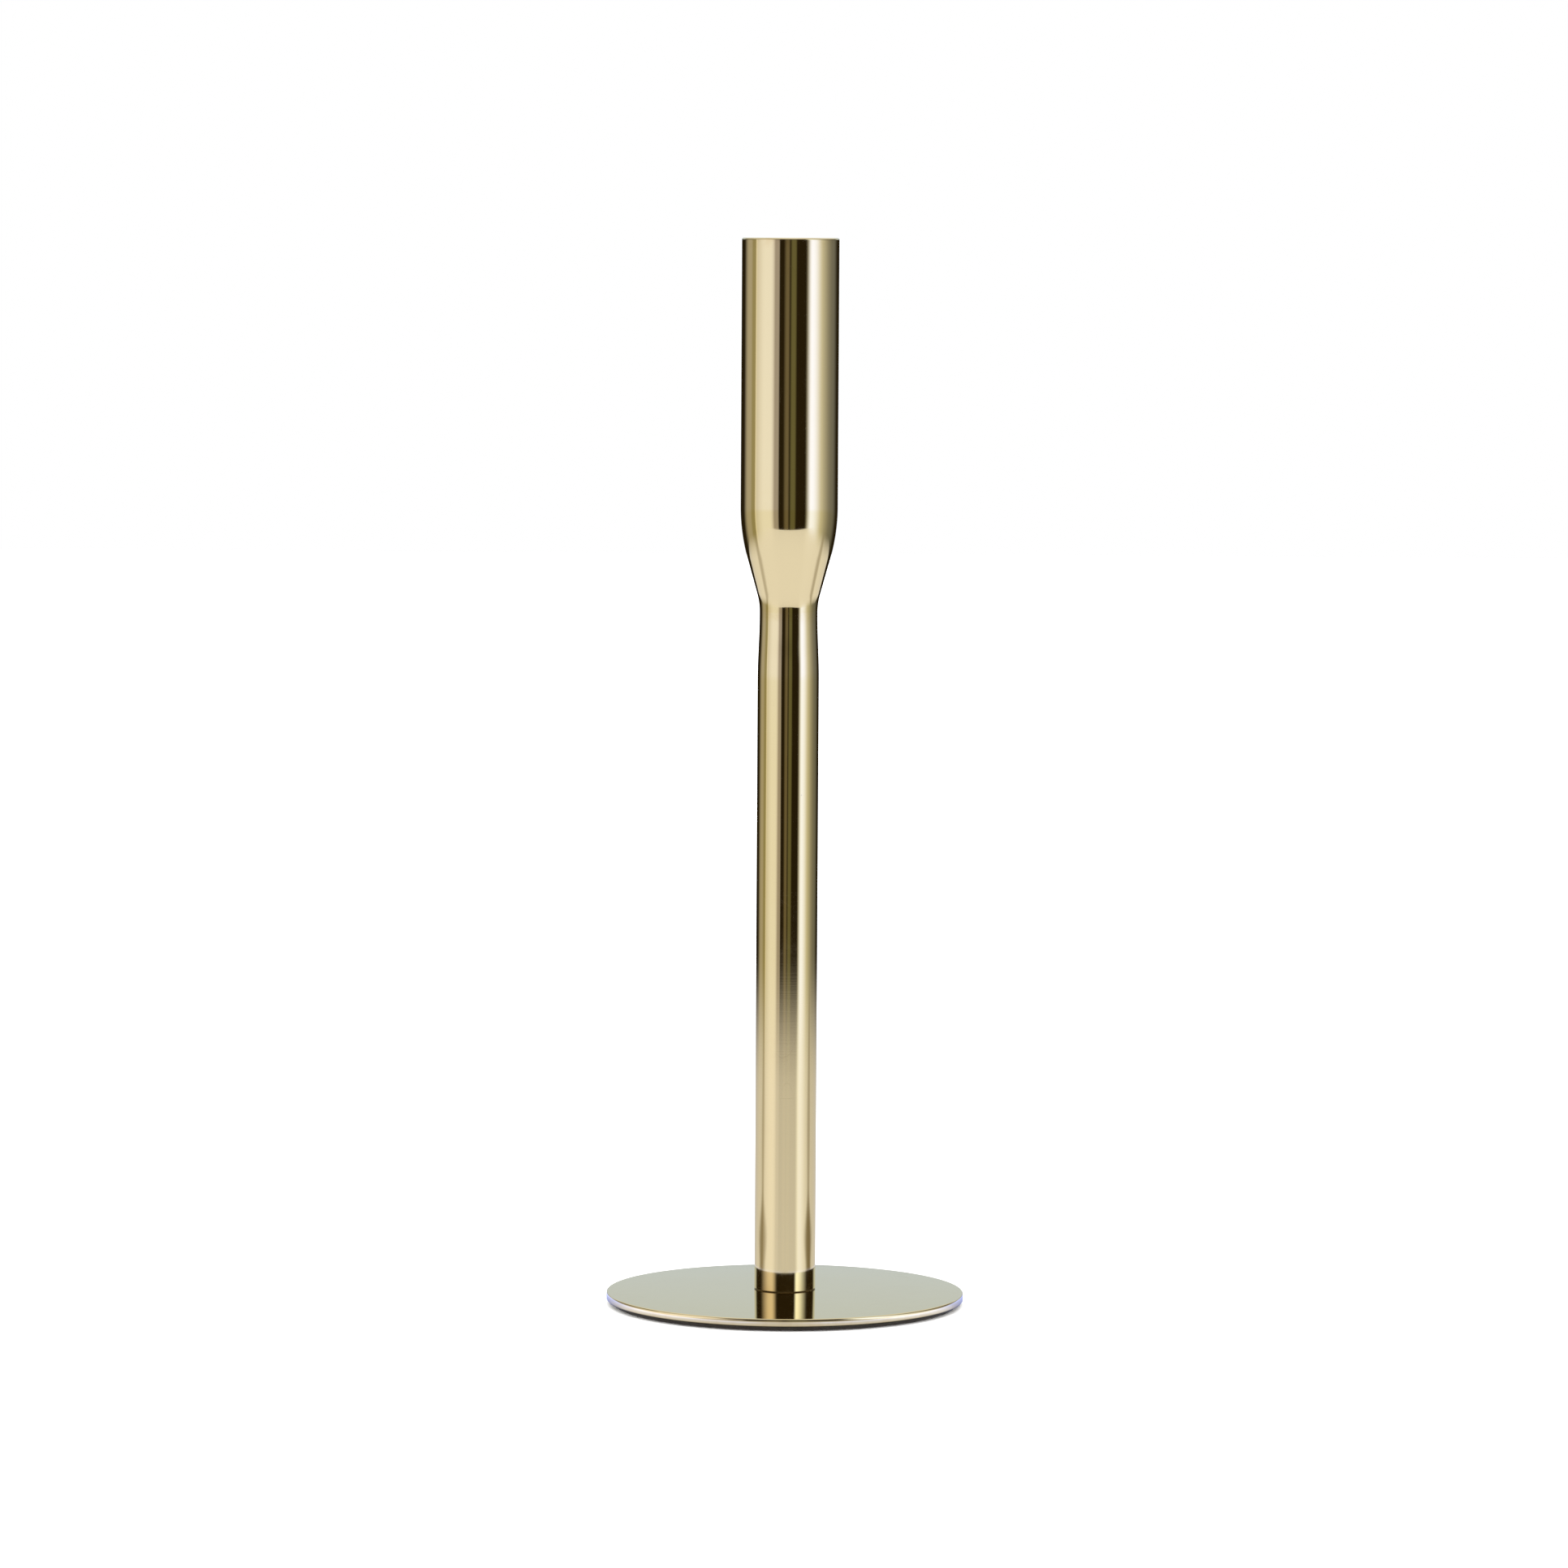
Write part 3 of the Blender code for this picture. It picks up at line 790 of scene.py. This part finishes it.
def hairlines_group():
    """Sparse hair-thin scratches: the middle lines of three long, thin noises set crosswise."""
    group, given, wanted = new_group(
        "hairline_scratches", [("Width", "value", 0.006)], [("Mask", "value")]
    )
    mask = 0.0
    for turned_by, stretch in ((0.5, (900, 38, 55)), (2.1, (44, 800, 60)), (1.2, (30, 50, 650))):
        mapping = group.nodes.new("ShaderNodeMapping")
        mapping.inputs["Rotation"].default_value = (turned_by, 0.7 * turned_by, 1.7 * turned_by)
        mapping.inputs["Scale"].default_value = stretch
        group.links.new(places(group), mapping.inputs["Vector"])
        off = distance(group, noise(group, mapping.outputs[0], 1.0, 0.0), 0.5)
        line = figure(group, "SUBTRACT", 1.0,
                      figure(group, "DIVIDE", off, given["Width"]), clamp=True)
        sparse = ease(group, noise(group, mapping.outputs[0], 0.35, 1.0), 0.52, 0.60)
        mask = figure(group, "MAXIMUM", mask, times(group, line, sparse))
    group.links.new(mask, wanted["Mask"])
    return group


def specks_group():
    """Sparse dust specks: the middles of a few of a Voronoi pattern's cells."""
    group, given, wanted = new_group(
        "dust_specks", [("Scale", "value", 420.0), ("Share", "value", 0.06)], [("Mask", "value")]
    )
    cells = group.nodes.new("ShaderNodeTexVoronoi")
    plug(group, places(group), cells.inputs["Vector"])
    plug(group, given["Scale"], cells.inputs["Scale"])
    dot = ease(group, cells.outputs["Distance"], 0.04, 0.11, 1.0, 0.0)
    pick, _, _ = apart(group, cells.outputs["Color"])
    chosen = figure(group, "LESS_THAN", pick, given["Share"])
    group.links.new(times(group, dot, chosen), wanted["Mask"])
    return group


def dulling_group():
    """Where polish thins: near two levels, such as a rim and a foot, in uneven patches."""
    group, given, wanted = new_group(
        "dulled_polish",
        [("Level", "value", 0.0), ("Other Level", "value", 0.0), ("Reach", "value", 0.004)],
        [("Mask", "value")],
    )
    here = places(group)
    _, _, z = apart(group, here)
    patches = ease(group, noise(group, here, 260.0, 4.0, 0.6), 0.38, 0.66)
    near = 0.0
    for title in ("Level", "Other Level"):
        away = figure(group, "DIVIDE", distance(group, z, given[title]), given["Reach"])
        near = figure(group, "MAXIMUM", near, ease(group, away, 0.0, 1.0, 1.0, 0.0))
    group.links.new(times(group, near, patches), wanted["Mask"])
    return group


def fibres_group():
    """Matted felt: the highest of three layers of short curled fibres, and the loose ones."""
    group, given, wanted = new_group(
        "felt_fibres",
        [("Scale", "value", 1500.0)],
        [("Height", "value"), ("Loose", "value")],
    )
    here = places(group)
    curl = together(group, noise(group, here, 900.0), noise(group, here, 1100.0), 0.5)
    bent = vector(group, "ADD", here, scaled(group, curl, 0.0012))
    height = 0.0
    for stretch in ((1.0, 0.16, 0.5), (0.18, 1.0, 0.6), (0.6, 0.5, 0.2)):
        where = vector(group, "MULTIPLY", bent, stretch)
        layer = noise(group, where, given["Scale"], 2.0, 0.55)
        height = figure(group, "MAXIMUM", height, layer)
    group.links.new(height, wanted["Height"])
    group.links.new(ease(group, height, 0.66, 0.80), wanted["Loose"])
    return group


def studio_group():
    """The studio all round the candlestick, as a mirror on its axis sees it near the horizon.

    Each panel fades in over its first softness, centred on its start, and out over its last.
    """
    group, given, wanted = new_group(
        "studio_panels",
        [("Azimuth", "value", 0.0), ("Height", "value", 0.0)],
        [("Light", "colour")],
    )
    total = DIM_ROOM
    for panels, below in ((LOW_PANELS, 1.0), (HIGH_PANELS, 0.0)):
        level = ease(group, given["Height"], *HIGH_FROM, below, 1.0 - below)
        for start, end, first, last, light in panels:
            shown = hump(group, given["Azimuth"], (start - first / 2, start + first / 2),
                         (end - last / 2, end + last / 2))
            shown = times(group, shown, level)
            total = vector(group, "ADD", scaled(group, light, shown), total)
    group.links.new(total, wanted["Light"])
    return group


EFFECTS = {
    "lathe_lines": lathe_lines_group,
    "handling_marks": handling_group,
    "hairline_scratches": hairlines_group,
    "dust_specks": specks_group,
    "dulled_polish": dulling_group,
    "felt_fibres": fibres_group,
    "studio_panels": studio_group,
}


# --- Materials -------------------------------------------------------------------------------
def new_material(name, metallic, **constants):
    """A material with its shader; constants are set on the shader's own sockets."""
    material = bpy.data.materials.new(name)
    material.use_nodes = True
    shader = material.node_tree.nodes["Principled BSDF"]
    shader.inputs["Metallic"].default_value = metallic
    for title, value in constants.items():
        title = title.replace("_", " ").title().replace("Ior", "IOR")
        shader.inputs[title].default_value = value
    return material, material.node_tree, shader


def finished(tree, shader, colour, rough, *layers):
    """Gives a shader its colour, and its roughness with each layer's mask times its amount."""
    for mask, amount in layers:
        rough = figure(tree, "MULTIPLY_ADD", mask, amount, rough)
    plug(tree, colour, shader.inputs["Base Color"])
    plug(tree, rough, shader.inputs["Roughness"])


def bumped(tree, shader, height, depth, below=None):
    """Adds a Bump node of this height and depth, on top of another if one is given."""
    bump = tree.nodes.new("ShaderNodeBump")
    bump.inputs["Strength"].default_value = 1.0
    bump.inputs["Distance"].default_value = depth
    plug(tree, height, bump.inputs["Height"])
    if below is not None:
        plug(tree, below, bump.inputs["Normal"])
    tree.links.new(bump.outputs[0], shader.inputs["Normal"])
    return bump.outputs[0]


def polished_brass(name, colours, level, other_level, lines, line_depth, corner=-1.0):
    """Polished brass: wheel lines, smudges, hairlines, dust and thinner polish at two levels.

    A corner level is where a dark line of painted shade lies, as in a corner between pieces.
    """
    material, tree, shader = new_material(name, 1.0)
    ridges = use(tree, "lathe_lines", lines=lines, wander=0.5)["Height"]
    smudge = use(tree, "handling_marks", size=0.021)["Mask"]
    hair = use(tree, "hairline_scratches", width=0.004)["Mask"]
    speck = use(tree, "dust_specks", scale=520.0, share=0.008)["Mask"]
    dull = use(tree, "dulled_polish", level=level, other_level=other_level,
               reach=0.0035)["Mask"]
    worn = figure(tree, "ADD", times(tree, smudge, 0.10), times(tree, dull, 0.45), clamp=True)
    colour = mixed(tree, worn, opaque(colours.brass), opaque(colours.worn_brass))
    colour = mixed(tree, times(tree, speck, 0.5), colour, opaque(colours.dust))
    _, _, z = apart(tree, places(tree))
    # painted shade: a dark line round the corner level
    line = ease(tree, distance(tree, z, corner), *FOOT_SHADE_LINE, 0.92, 0.0)
    colour = mixed(tree, line, colour, opaque(colours.foot_corner_shade))
    finished(tree, shader, colour, 0.034, (ridges, 0.020), (smudge, 0.030), (dull, 0.050),
             (hair, 0.10), (speck, 0.35))
    normal = bumped(tree, shader, ridges, line_depth)
    bumped(tree, shader, times(tree, hair, -1.0), SCRATCH_DEPTH, normal)
    return material


def turned_brass(name, colours):
    """Brass straight from the lathe: stronger tool lines, dulled in patches."""
    material, tree, shader = new_material(name, 1.0)
    ridges = use(tree, "lathe_lines", lines=5200.0, wander=0.25)["Height"]
    stain = use(tree, "handling_marks", size=0.006)["Mask"]
    hair = use(tree, "hairline_scratches", width=0.008)["Mask"]
    stained = tuple(0.72 * part for part in colours.worn_brass)
    colour = mixed(tree, times(tree, stain, 0.6), opaque(colours.plain_brass), opaque(stained))
    finished(tree, shader, colour, 0.20, (ridges, 0.14), (stain, 0.16), (hair, 0.1))
    bumped(tree, shader, ridges, 0.000012)
    return material


def zinc_steel(name, colours):
    """Zinc-plated steel: cloudy bloom, fine tool lines and small scratches."""
    material, tree, shader = new_material(name, 1.0)
    ridges = use(tree, "lathe_lines", lines=6500.0, wander=0.4)["Height"]
    bloom = use(tree, "handling_marks", size=0.0025)["Mask"]
    hair = use(tree, "hairline_scratches", width=0.010)["Mask"]
    grain = noise(tree, places(tree), 9000.0, 3.0, 0.6)
    colour = mixed(tree, bloom, opaque(colours.zinc), opaque(colours.zinc_bloom))
    finished(tree, shader, colour, 0.22, (grain, 0.12), (bloom, 0.18), (hair, 0.12))
    normal = bumped(tree, shader, ridges, 0.000006)
    bumped(tree, shader, grain, 0.000004, normal)
    return material


def felt_cloth(name, colours):
    """Dark wool felt: matted fibres with a few pale loose ones."""
    material, tree, shader = new_material(name, 0.0, sheen_weight=0.10, sheen_roughness=0.6,
                                           specular_ior_level=0.2)
    fibres = use(tree, "felt_fibres", scale=1500.0)
    uneven = noise(tree, places(tree), 140.0, 3.0, 0.6)
    darker, lighter = (tuple(share * part for part in colours.felt) for share in (0.7, 1.35))
    colour = mixed(tree, uneven, opaque(darker), opaque(lighter))
    colour = mixed(tree, fibres["Loose"], colour, opaque(colours.felt_light))
    finished(tree, shader, colour, 0.86, (fibres["Height"], 0.12))
    bumped(tree, shader, fibres["Height"], 0.00012)
    return material


def from_the_front(tree, seen, output):
    """Shows a shader on the front of a face and nothing on its back."""
    geometry = tree.nodes.new("ShaderNodeNewGeometry")
    shown = blended(tree, geometry.outputs["Backfacing"], seen, nothing(tree))
    tree.links.new(shown, output.inputs["Surface"])


def floor_material(colours):
    """Pale matt floor with a faint unevenness; from below it isn't there."""
    material, tree, shader = new_material("pale_floor", 0.0, specular_ior_level=0.0)
    shade = ease(tree, noise(tree, places(tree), 3.0, 3.0), 0.2, 0.8, 0.985, 1.0)
    finished(tree, shader, scaled(tree, tuple(colours.floor), shade), 0.9)
    from_the_front(tree, shader.outputs[0], tree.nodes["Material Output"])
    return material


# --- The reflected table: a glowing sheet with painted light, shadows and reflection ---------
def stem_shadow(tree, x, y, towards, darkness):
    """How dark the stem's painted soft shadow is: it runs over the table towards a bearing.

    It swells a little way out, and further off it is wider and fainter.
    """
    way = (math.sin(math.radians(towards)), -math.cos(math.radians(towards)))
    along = figure(tree, "ADD", times(tree, x, way[0]), times(tree, y, way[1]))
    across = distance(tree, times(tree, x, way[1]), times(tree, y, way[0]))
    width = ease(tree, along, *SHADOW_SPREADS, *SHADOW_WIDTHS)
    swell = hump(tree, along, *SHADOW_SWELLS)
    width = figure(tree, "MULTIPLY_ADD", swell, SHADOW_SWELL, width)
    core = ease(tree, figure(tree, "DIVIDE", across, width), *SHADOW_SOFTNESS, darkness, 0.0)
    return times(tree, core, hump(tree, along, *SHADOW_LENGTH, SHADOW_FAR))


def painted_table_light(tree, colours, x, y, away):
    """The table's painted light: a glow in place of its lit white, with painted shadows of the
    stem and of the base.
    """
    matt = opaque(colours.table)
    for towards, darkness in STEM_SHADOWS:
        shadow = stem_shadow(tree, x, y, towards, darkness)
        matt = mixed(tree, shadow, matt, opaque(colours.table_shadow))
    matt = scaled(tree, matt, ease(tree, away, *BASE_SHADOW))
    return scaled(tree, matt, ease(tree, away, *BASE_HALF_SHADOW))


def painted_table_reflection(tree, x, y, away):
    """A painted reflection of the panels in the table's gloss, and a painted gleam close to the
    base, seen at a low angle.
    """
    around = bearing(tree, x, y)
    panels = use(tree, "studio_panels", azimuth=around, height=GLOSS_HEIGHT)["Light"]
    ahead = ease(tree, figure(tree, "ABSOLUTE", around), *GLEAM_TURN, *GLEAM_STRENGTHS)
    gleam = times(tree, ease(tree, away, *GLEAM_END, 1.0, 0.0), ahead)
    return vector(tree, "ADD", scaled(tree, panels, GLOSS_STRENGTH), scaled(tree, GLEAM, gleam))


def beyond_table(tree, x, y, away, reach, fresnel):
    """Where the table ends: crisply in front, softly at a low angle, and under the base."""
    across, deep = times(tree, x, 1.0 / reach), times(tree, y, 1.0 / reach)
    oval = hypotenuse(tree, times(tree, across, OVAL), deep)
    sides = ease(tree, figure(tree, "ABSOLUTE", across), *SIDES_END)
    crisp = figure(tree, "MAXIMUM", ease(tree, oval, *CRISP_END), sides)
    faded = ease(tree, hypotenuse(tree, across, deep), *FADED_END)
    low = ease(tree, fresnel, *LOW_ANGLE)
    beyond = figure(tree, "MULTIPLY_ADD", figure(tree, "SUBTRACT", faded, crisp), low, crisp)
    return figure(tree, "MAXIMUM", beyond, ease(tree, away, *UNDER_BASE, 1.0, 0.0))


def table_material(colours, reach):
    """The glossy table top that shows only in the brass: a glowing sheet, not a lamp, with painted
    light, shadows and reflection.
    """
    material = bpy.data.materials.new("reflected_table")
    material.use_nodes = True
    tree = material.node_tree
    tree.nodes.clear()
    x, y, _ = apart(tree, places(tree))
    away = hypotenuse(tree, x, y)
    fresnel = tree.nodes.new("ShaderNodeFresnel")
    fresnel.inputs["IOR"].default_value = TABLE_IOR
    emission = tree.nodes.new("ShaderNodeEmission")
    tree.links.new(
        mixed(tree, fresnel.outputs[0], painted_table_light(tree, colours, x, y, away),
              painted_table_reflection(tree, x, y, away)),
        emission.inputs["Color"],
    )
    beyond = beyond_table(tree, x, y, away, reach, fresnel.outputs[0])
    top = blended(tree, beyond, emission.outputs[0], nothing(tree))
    from_the_front(tree, top, tree.nodes.new("ShaderNodeOutputMaterial"))
    return material


# --- The studio ------------------------------------------------------------------------------
def seen_in_brass(tree, around, height):
    """The studio as the polished brass sees it: panels, a wall behind, ceiling and ground."""
    panels = use(tree, "studio_panels", azimuth=around, height=height)["Light"]
    off_front = figure(tree, "ABSOLUTE", around)
    wall = times(tree, ease(tree, off_front, *WALL_FROM), ease(tree, height, *WALL_FOOT))
    seen = vector(tree, "ADD", panels, scaled(tree, WALL_BEHIND, wall))
    warmth = mixed(tree, ease(tree, height, *WARM_BELOW), opaque(WARMTH), opaque(WHITE))
    seen = vector(tree, "MULTIPLY", seen, warmth)
    upper = mixed(tree, ease(tree, off_front, *SIDES_FROM), opaque(UPPER_FRONT),
                  opaque(UPPER_SIDES))
    upper = mixed(tree, ease(tree, height, *CEILING_FROM), upper, opaque(CEILING))
    seen = mixed(tree, ease(tree, height, *UPPER_FROM), seen, upper)
    lower = vector(tree, "ADD", scaled(tree, seen, LOWER_PANELS), GROUND)
    return mixed(tree, ease(tree, height, *GROUND_BELOW, 1.0, 0.0), seen, lower)


def studio_world():
    """White to the camera, even soft white to matt surfaces, and the studio to polished ones."""
    world = bpy.data.worlds.new("studio")
    bpy.context.scene.world = world
    world.use_nodes = True
    world.cycles.sampling_method = "NONE"
    tree = world.node_tree
    tree.nodes.clear()
    x, y, z = apart(tree, tree.nodes.new("ShaderNodeTexCoord").outputs["Generated"])
    height = figure(tree, "DEGREES", figure(tree, "ARCSINE", z))
    seen = seen_in_brass(tree, bearing(tree, x, y), height)
    even = scaled(tree, WHITE, ease(tree, height, *SOFT_CHANGE, SOFT_BELOW, SOFT_ABOVE))
    path = tree.nodes.new("ShaderNodeLightPath")
    soft = mixed(tree, path.outputs["Is Glossy Ray"], even, seen)
    shown = mixed(tree, path.outputs["Is Camera Ray"], soft, opaque(WHITE))
    background = tree.nodes.new("ShaderNodeBackground")
    tree.links.new(shown, background.inputs["Color"])
    output = tree.nodes.new("ShaderNodeOutputWorld")
    tree.links.new(background.outputs[0], output.inputs["Surface"])


# --- Operators -------------------------------------------------------------------------------
class CANDLESTICK_OT_socket(bpy.types.Operator):
    """Make the cup, cone and neck, and the seat inside the cup"""

    bl_idname = "candlestick.make_socket"
    bl_label = "Cup and Seat"

    def execute(self, context):
        sizes, colours = context.scene.candlestick_sizes, context.scene.candlestick_colours
        brass = polished_brass("polished_brass_cup", colours, sizes.rim_level, JOINT_LEVEL,
                               lines=3800.0, line_depth=0.0000012)
        place("cup_and_cone", spread(socket_outline(sizes), AROUND), brass,
              "polished_brass", "socket_shell")
        brass = polished_brass("polished_brass_seat", colours, SEAT_LEVEL, SEAT_LEVEL,
                               lines=4400.0, line_depth=0.000006)
        place("cup_seat", spread(seat_outline(sizes), AROUND), brass,
              "polished_brass", "candle_seat")
        return {"FINISHED"}


class CANDLESTICK_OT_stem(bpy.types.Operator):
    """Make the tube stem with its drawn-in top"""

    bl_idname = "candlestick.make_stem"
    bl_label = "Stem"

    def execute(self, context):
        sizes, colours = context.scene.candlestick_sizes, context.scene.candlestick_colours
        # its corner at the base's top carries the painted shade line
        brass = polished_brass("polished_brass_stem", colours, BASE_TOP, JOINT_LEVEL,
                               lines=3400.0, line_depth=0.0000010, corner=BASE_TOP)
        place("stem_column", spread(stem_outline(sizes), AROUND), brass,
              "polished_brass", "stem_tube")
        return {"FINISHED"}


class CANDLESTICK_OT_base(bpy.types.Operator):
    """Make the round base and the felt ring under it"""

    bl_idname = "candlestick.make_base"
    bl_label = "Base and Felt"

    def execute(self, context):
        sizes, colours = context.scene.candlestick_sizes, context.scene.candlestick_colours
        brass = polished_brass("polished_brass_base", colours, BASE_BOTTOM, BASE_BOTTOM,
                               lines=2600.0, line_depth=0.0000010)
        place("round_base", spread(base_outline(sizes), AROUND_BASE), brass,
              "polished_brass", "base_disc")
        place("felt_ring", felt_grid(sizes), felt_cloth("dark_felt", colours), "felt", "felt_pad")
        return {"FINISHED"}


class CANDLESTICK_OT_fittings(bpy.types.Operator):
    """Make the tapped bushes, the stud and the screw that hold the pieces together"""

    bl_idname = "candlestick.make_fittings"
    bl_label = "Bushes and Screws"

    def execute(self, context):
        sizes, colours = context.scene.candlestick_sizes, context.scene.candlestick_colours
        plain = turned_brass("turned_brass", colours)
        steel = zinc_steel("zinc_steel", colours)
        stud_hole = sizes.stud_radius + HOLE_ROOM
        screw_hole = sizes.screw_radius + HOLE_ROOM
        stud_top, stud_bottom = BOX["neck_stud"][1].z, BOX["neck_stud"][0].z
        bushes = (
            ("upper_bush", "neck_bush_upper", 0, stud_hole, stud_top, STUD_PITCH),
            ("lower_bush", "neck_bush_lower", 1, stud_hole, stud_bottom, STUD_PITCH),
            ("base_bush", "foot_bush", 0, screw_hole, BOX["base_screw"][1].z, SCREW_PITCH),
        )
        for name, node, end, hole, tip, pitch in bushes:
            grids = bush_grid(BOX[node][1].x, BOX[node][end].z, hole, tip, pitch)
            place(name, grids, plain, "turned_brass", node)
        place("joint_stud", stud_grid(sizes), steel, "zinc_steel", "neck_stud")
        place("countersunk_screw", screw_grid(sizes), steel, "zinc_steel", "base_screw")
        return {"FINISHED"}


class CANDLESTICK_OT_stage(bpy.types.Operator):
    """Make the floor, the reflected table, the studio and the camera"""

    bl_idname = "candlestick.make_stage"
    bl_label = "Stage"

    def execute(self, context):
        colours, stage = context.scene.candlestick_colours, context.scene.candlestick_stage
        reach = stage.table_reach
        for name, half, level, material in (
            ("floor", stage.floor_size / 2, FLOOR_LEVEL, floor_material(colours)),
            ("reflected_table", 1.05 * reach, TABLE_LEVEL, table_material(colours, reach)),
        ):
            sheet = bpy.data.objects.new(name, flat_mesh(name, half, level))
            sheet.data.materials.append(material)
            context.scene.collection.objects.link(sheet)
            mirrored_only = name != "floor"
            sheet.visible_glossy = mirrored_only
            sheet.visible_camera = not mirrored_only
            sheet.visible_diffuse = False
            sheet.visible_shadow = not mirrored_only
        studio_world()
        camera = bpy.data.objects.new("camera", bpy.data.cameras.new("camera"))
        camera.data.lens = stage.lens
        camera.data.sensor_width = 36.0
        camera.data.clip_start, camera.data.clip_end = 0.05, 50.0
        camera.matrix_world = (
            Matrix.Translation((0.0, -stage.distance, stage.level))
            @ Matrix.Rotation(stage.yaw, 4, "Z")
            @ Matrix.Rotation(math.pi / 2 - stage.pitch, 4, "X")
            @ Matrix.Rotation(stage.roll, 4, "Z")
        )
        context.scene.collection.objects.link(camera)
        context.scene.camera = camera
        context.scene.view_settings.view_transform = "Standard"
        return {"FINISHED"}


class CANDLESTICK_PT_panel(bpy.types.Panel):
    """Lists what can be made, and the sizes and colours it is made with"""

    bl_idname = "CANDLESTICK_PT_panel"
    bl_label = "Candlestick"
    bl_space_type = "VIEW_3D"
    bl_region_type = "UI"
    bl_category = "Candlestick"

    def draw(self, context):
        column = self.layout.column()
        for operator in OPERATORS:
            column.operator(operator.bl_idname)
        for group in GROUPS:
            settings = getattr(context.scene, GROUPS[group])
            column.separator()
            for name in group.__annotations__:
                column.prop(settings, name)


OPERATORS = (
    CANDLESTICK_OT_socket,
    CANDLESTICK_OT_stem,
    CANDLESTICK_OT_base,
    CANDLESTICK_OT_fittings,
    CANDLESTICK_OT_stage,
)
GROUPS = {
    CandlestickSizes: "candlestick_sizes",
    CandlestickColours: "candlestick_colours",
    CandlestickStage: "candlestick_stage",
}


def register():
    for kind in (*GROUPS, *OPERATORS, CANDLESTICK_PT_panel):
        bpy.utils.register_class(kind)
    for kind, name in GROUPS.items():
        setattr(bpy.types.Scene, name, bpy.props.PointerProperty(type=kind))


def unregister():
    for name in GROUPS.values():
        delattr(bpy.types.Scene, name)
    for kind in (CANDLESTICK_PT_panel, *OPERATORS, *GROUPS):
        bpy.utils.unregister_class(kind)


def main():
    """Makes every piece and the stage."""
    register()
    bpy.ops.candlestick.make_socket()
    bpy.ops.candlestick.make_stem()
    bpy.ops.candlestick.make_base()
    bpy.ops.candlestick.make_fittings()
    bpy.ops.candlestick.make_stage()


if __name__ == "__main__":
    main()
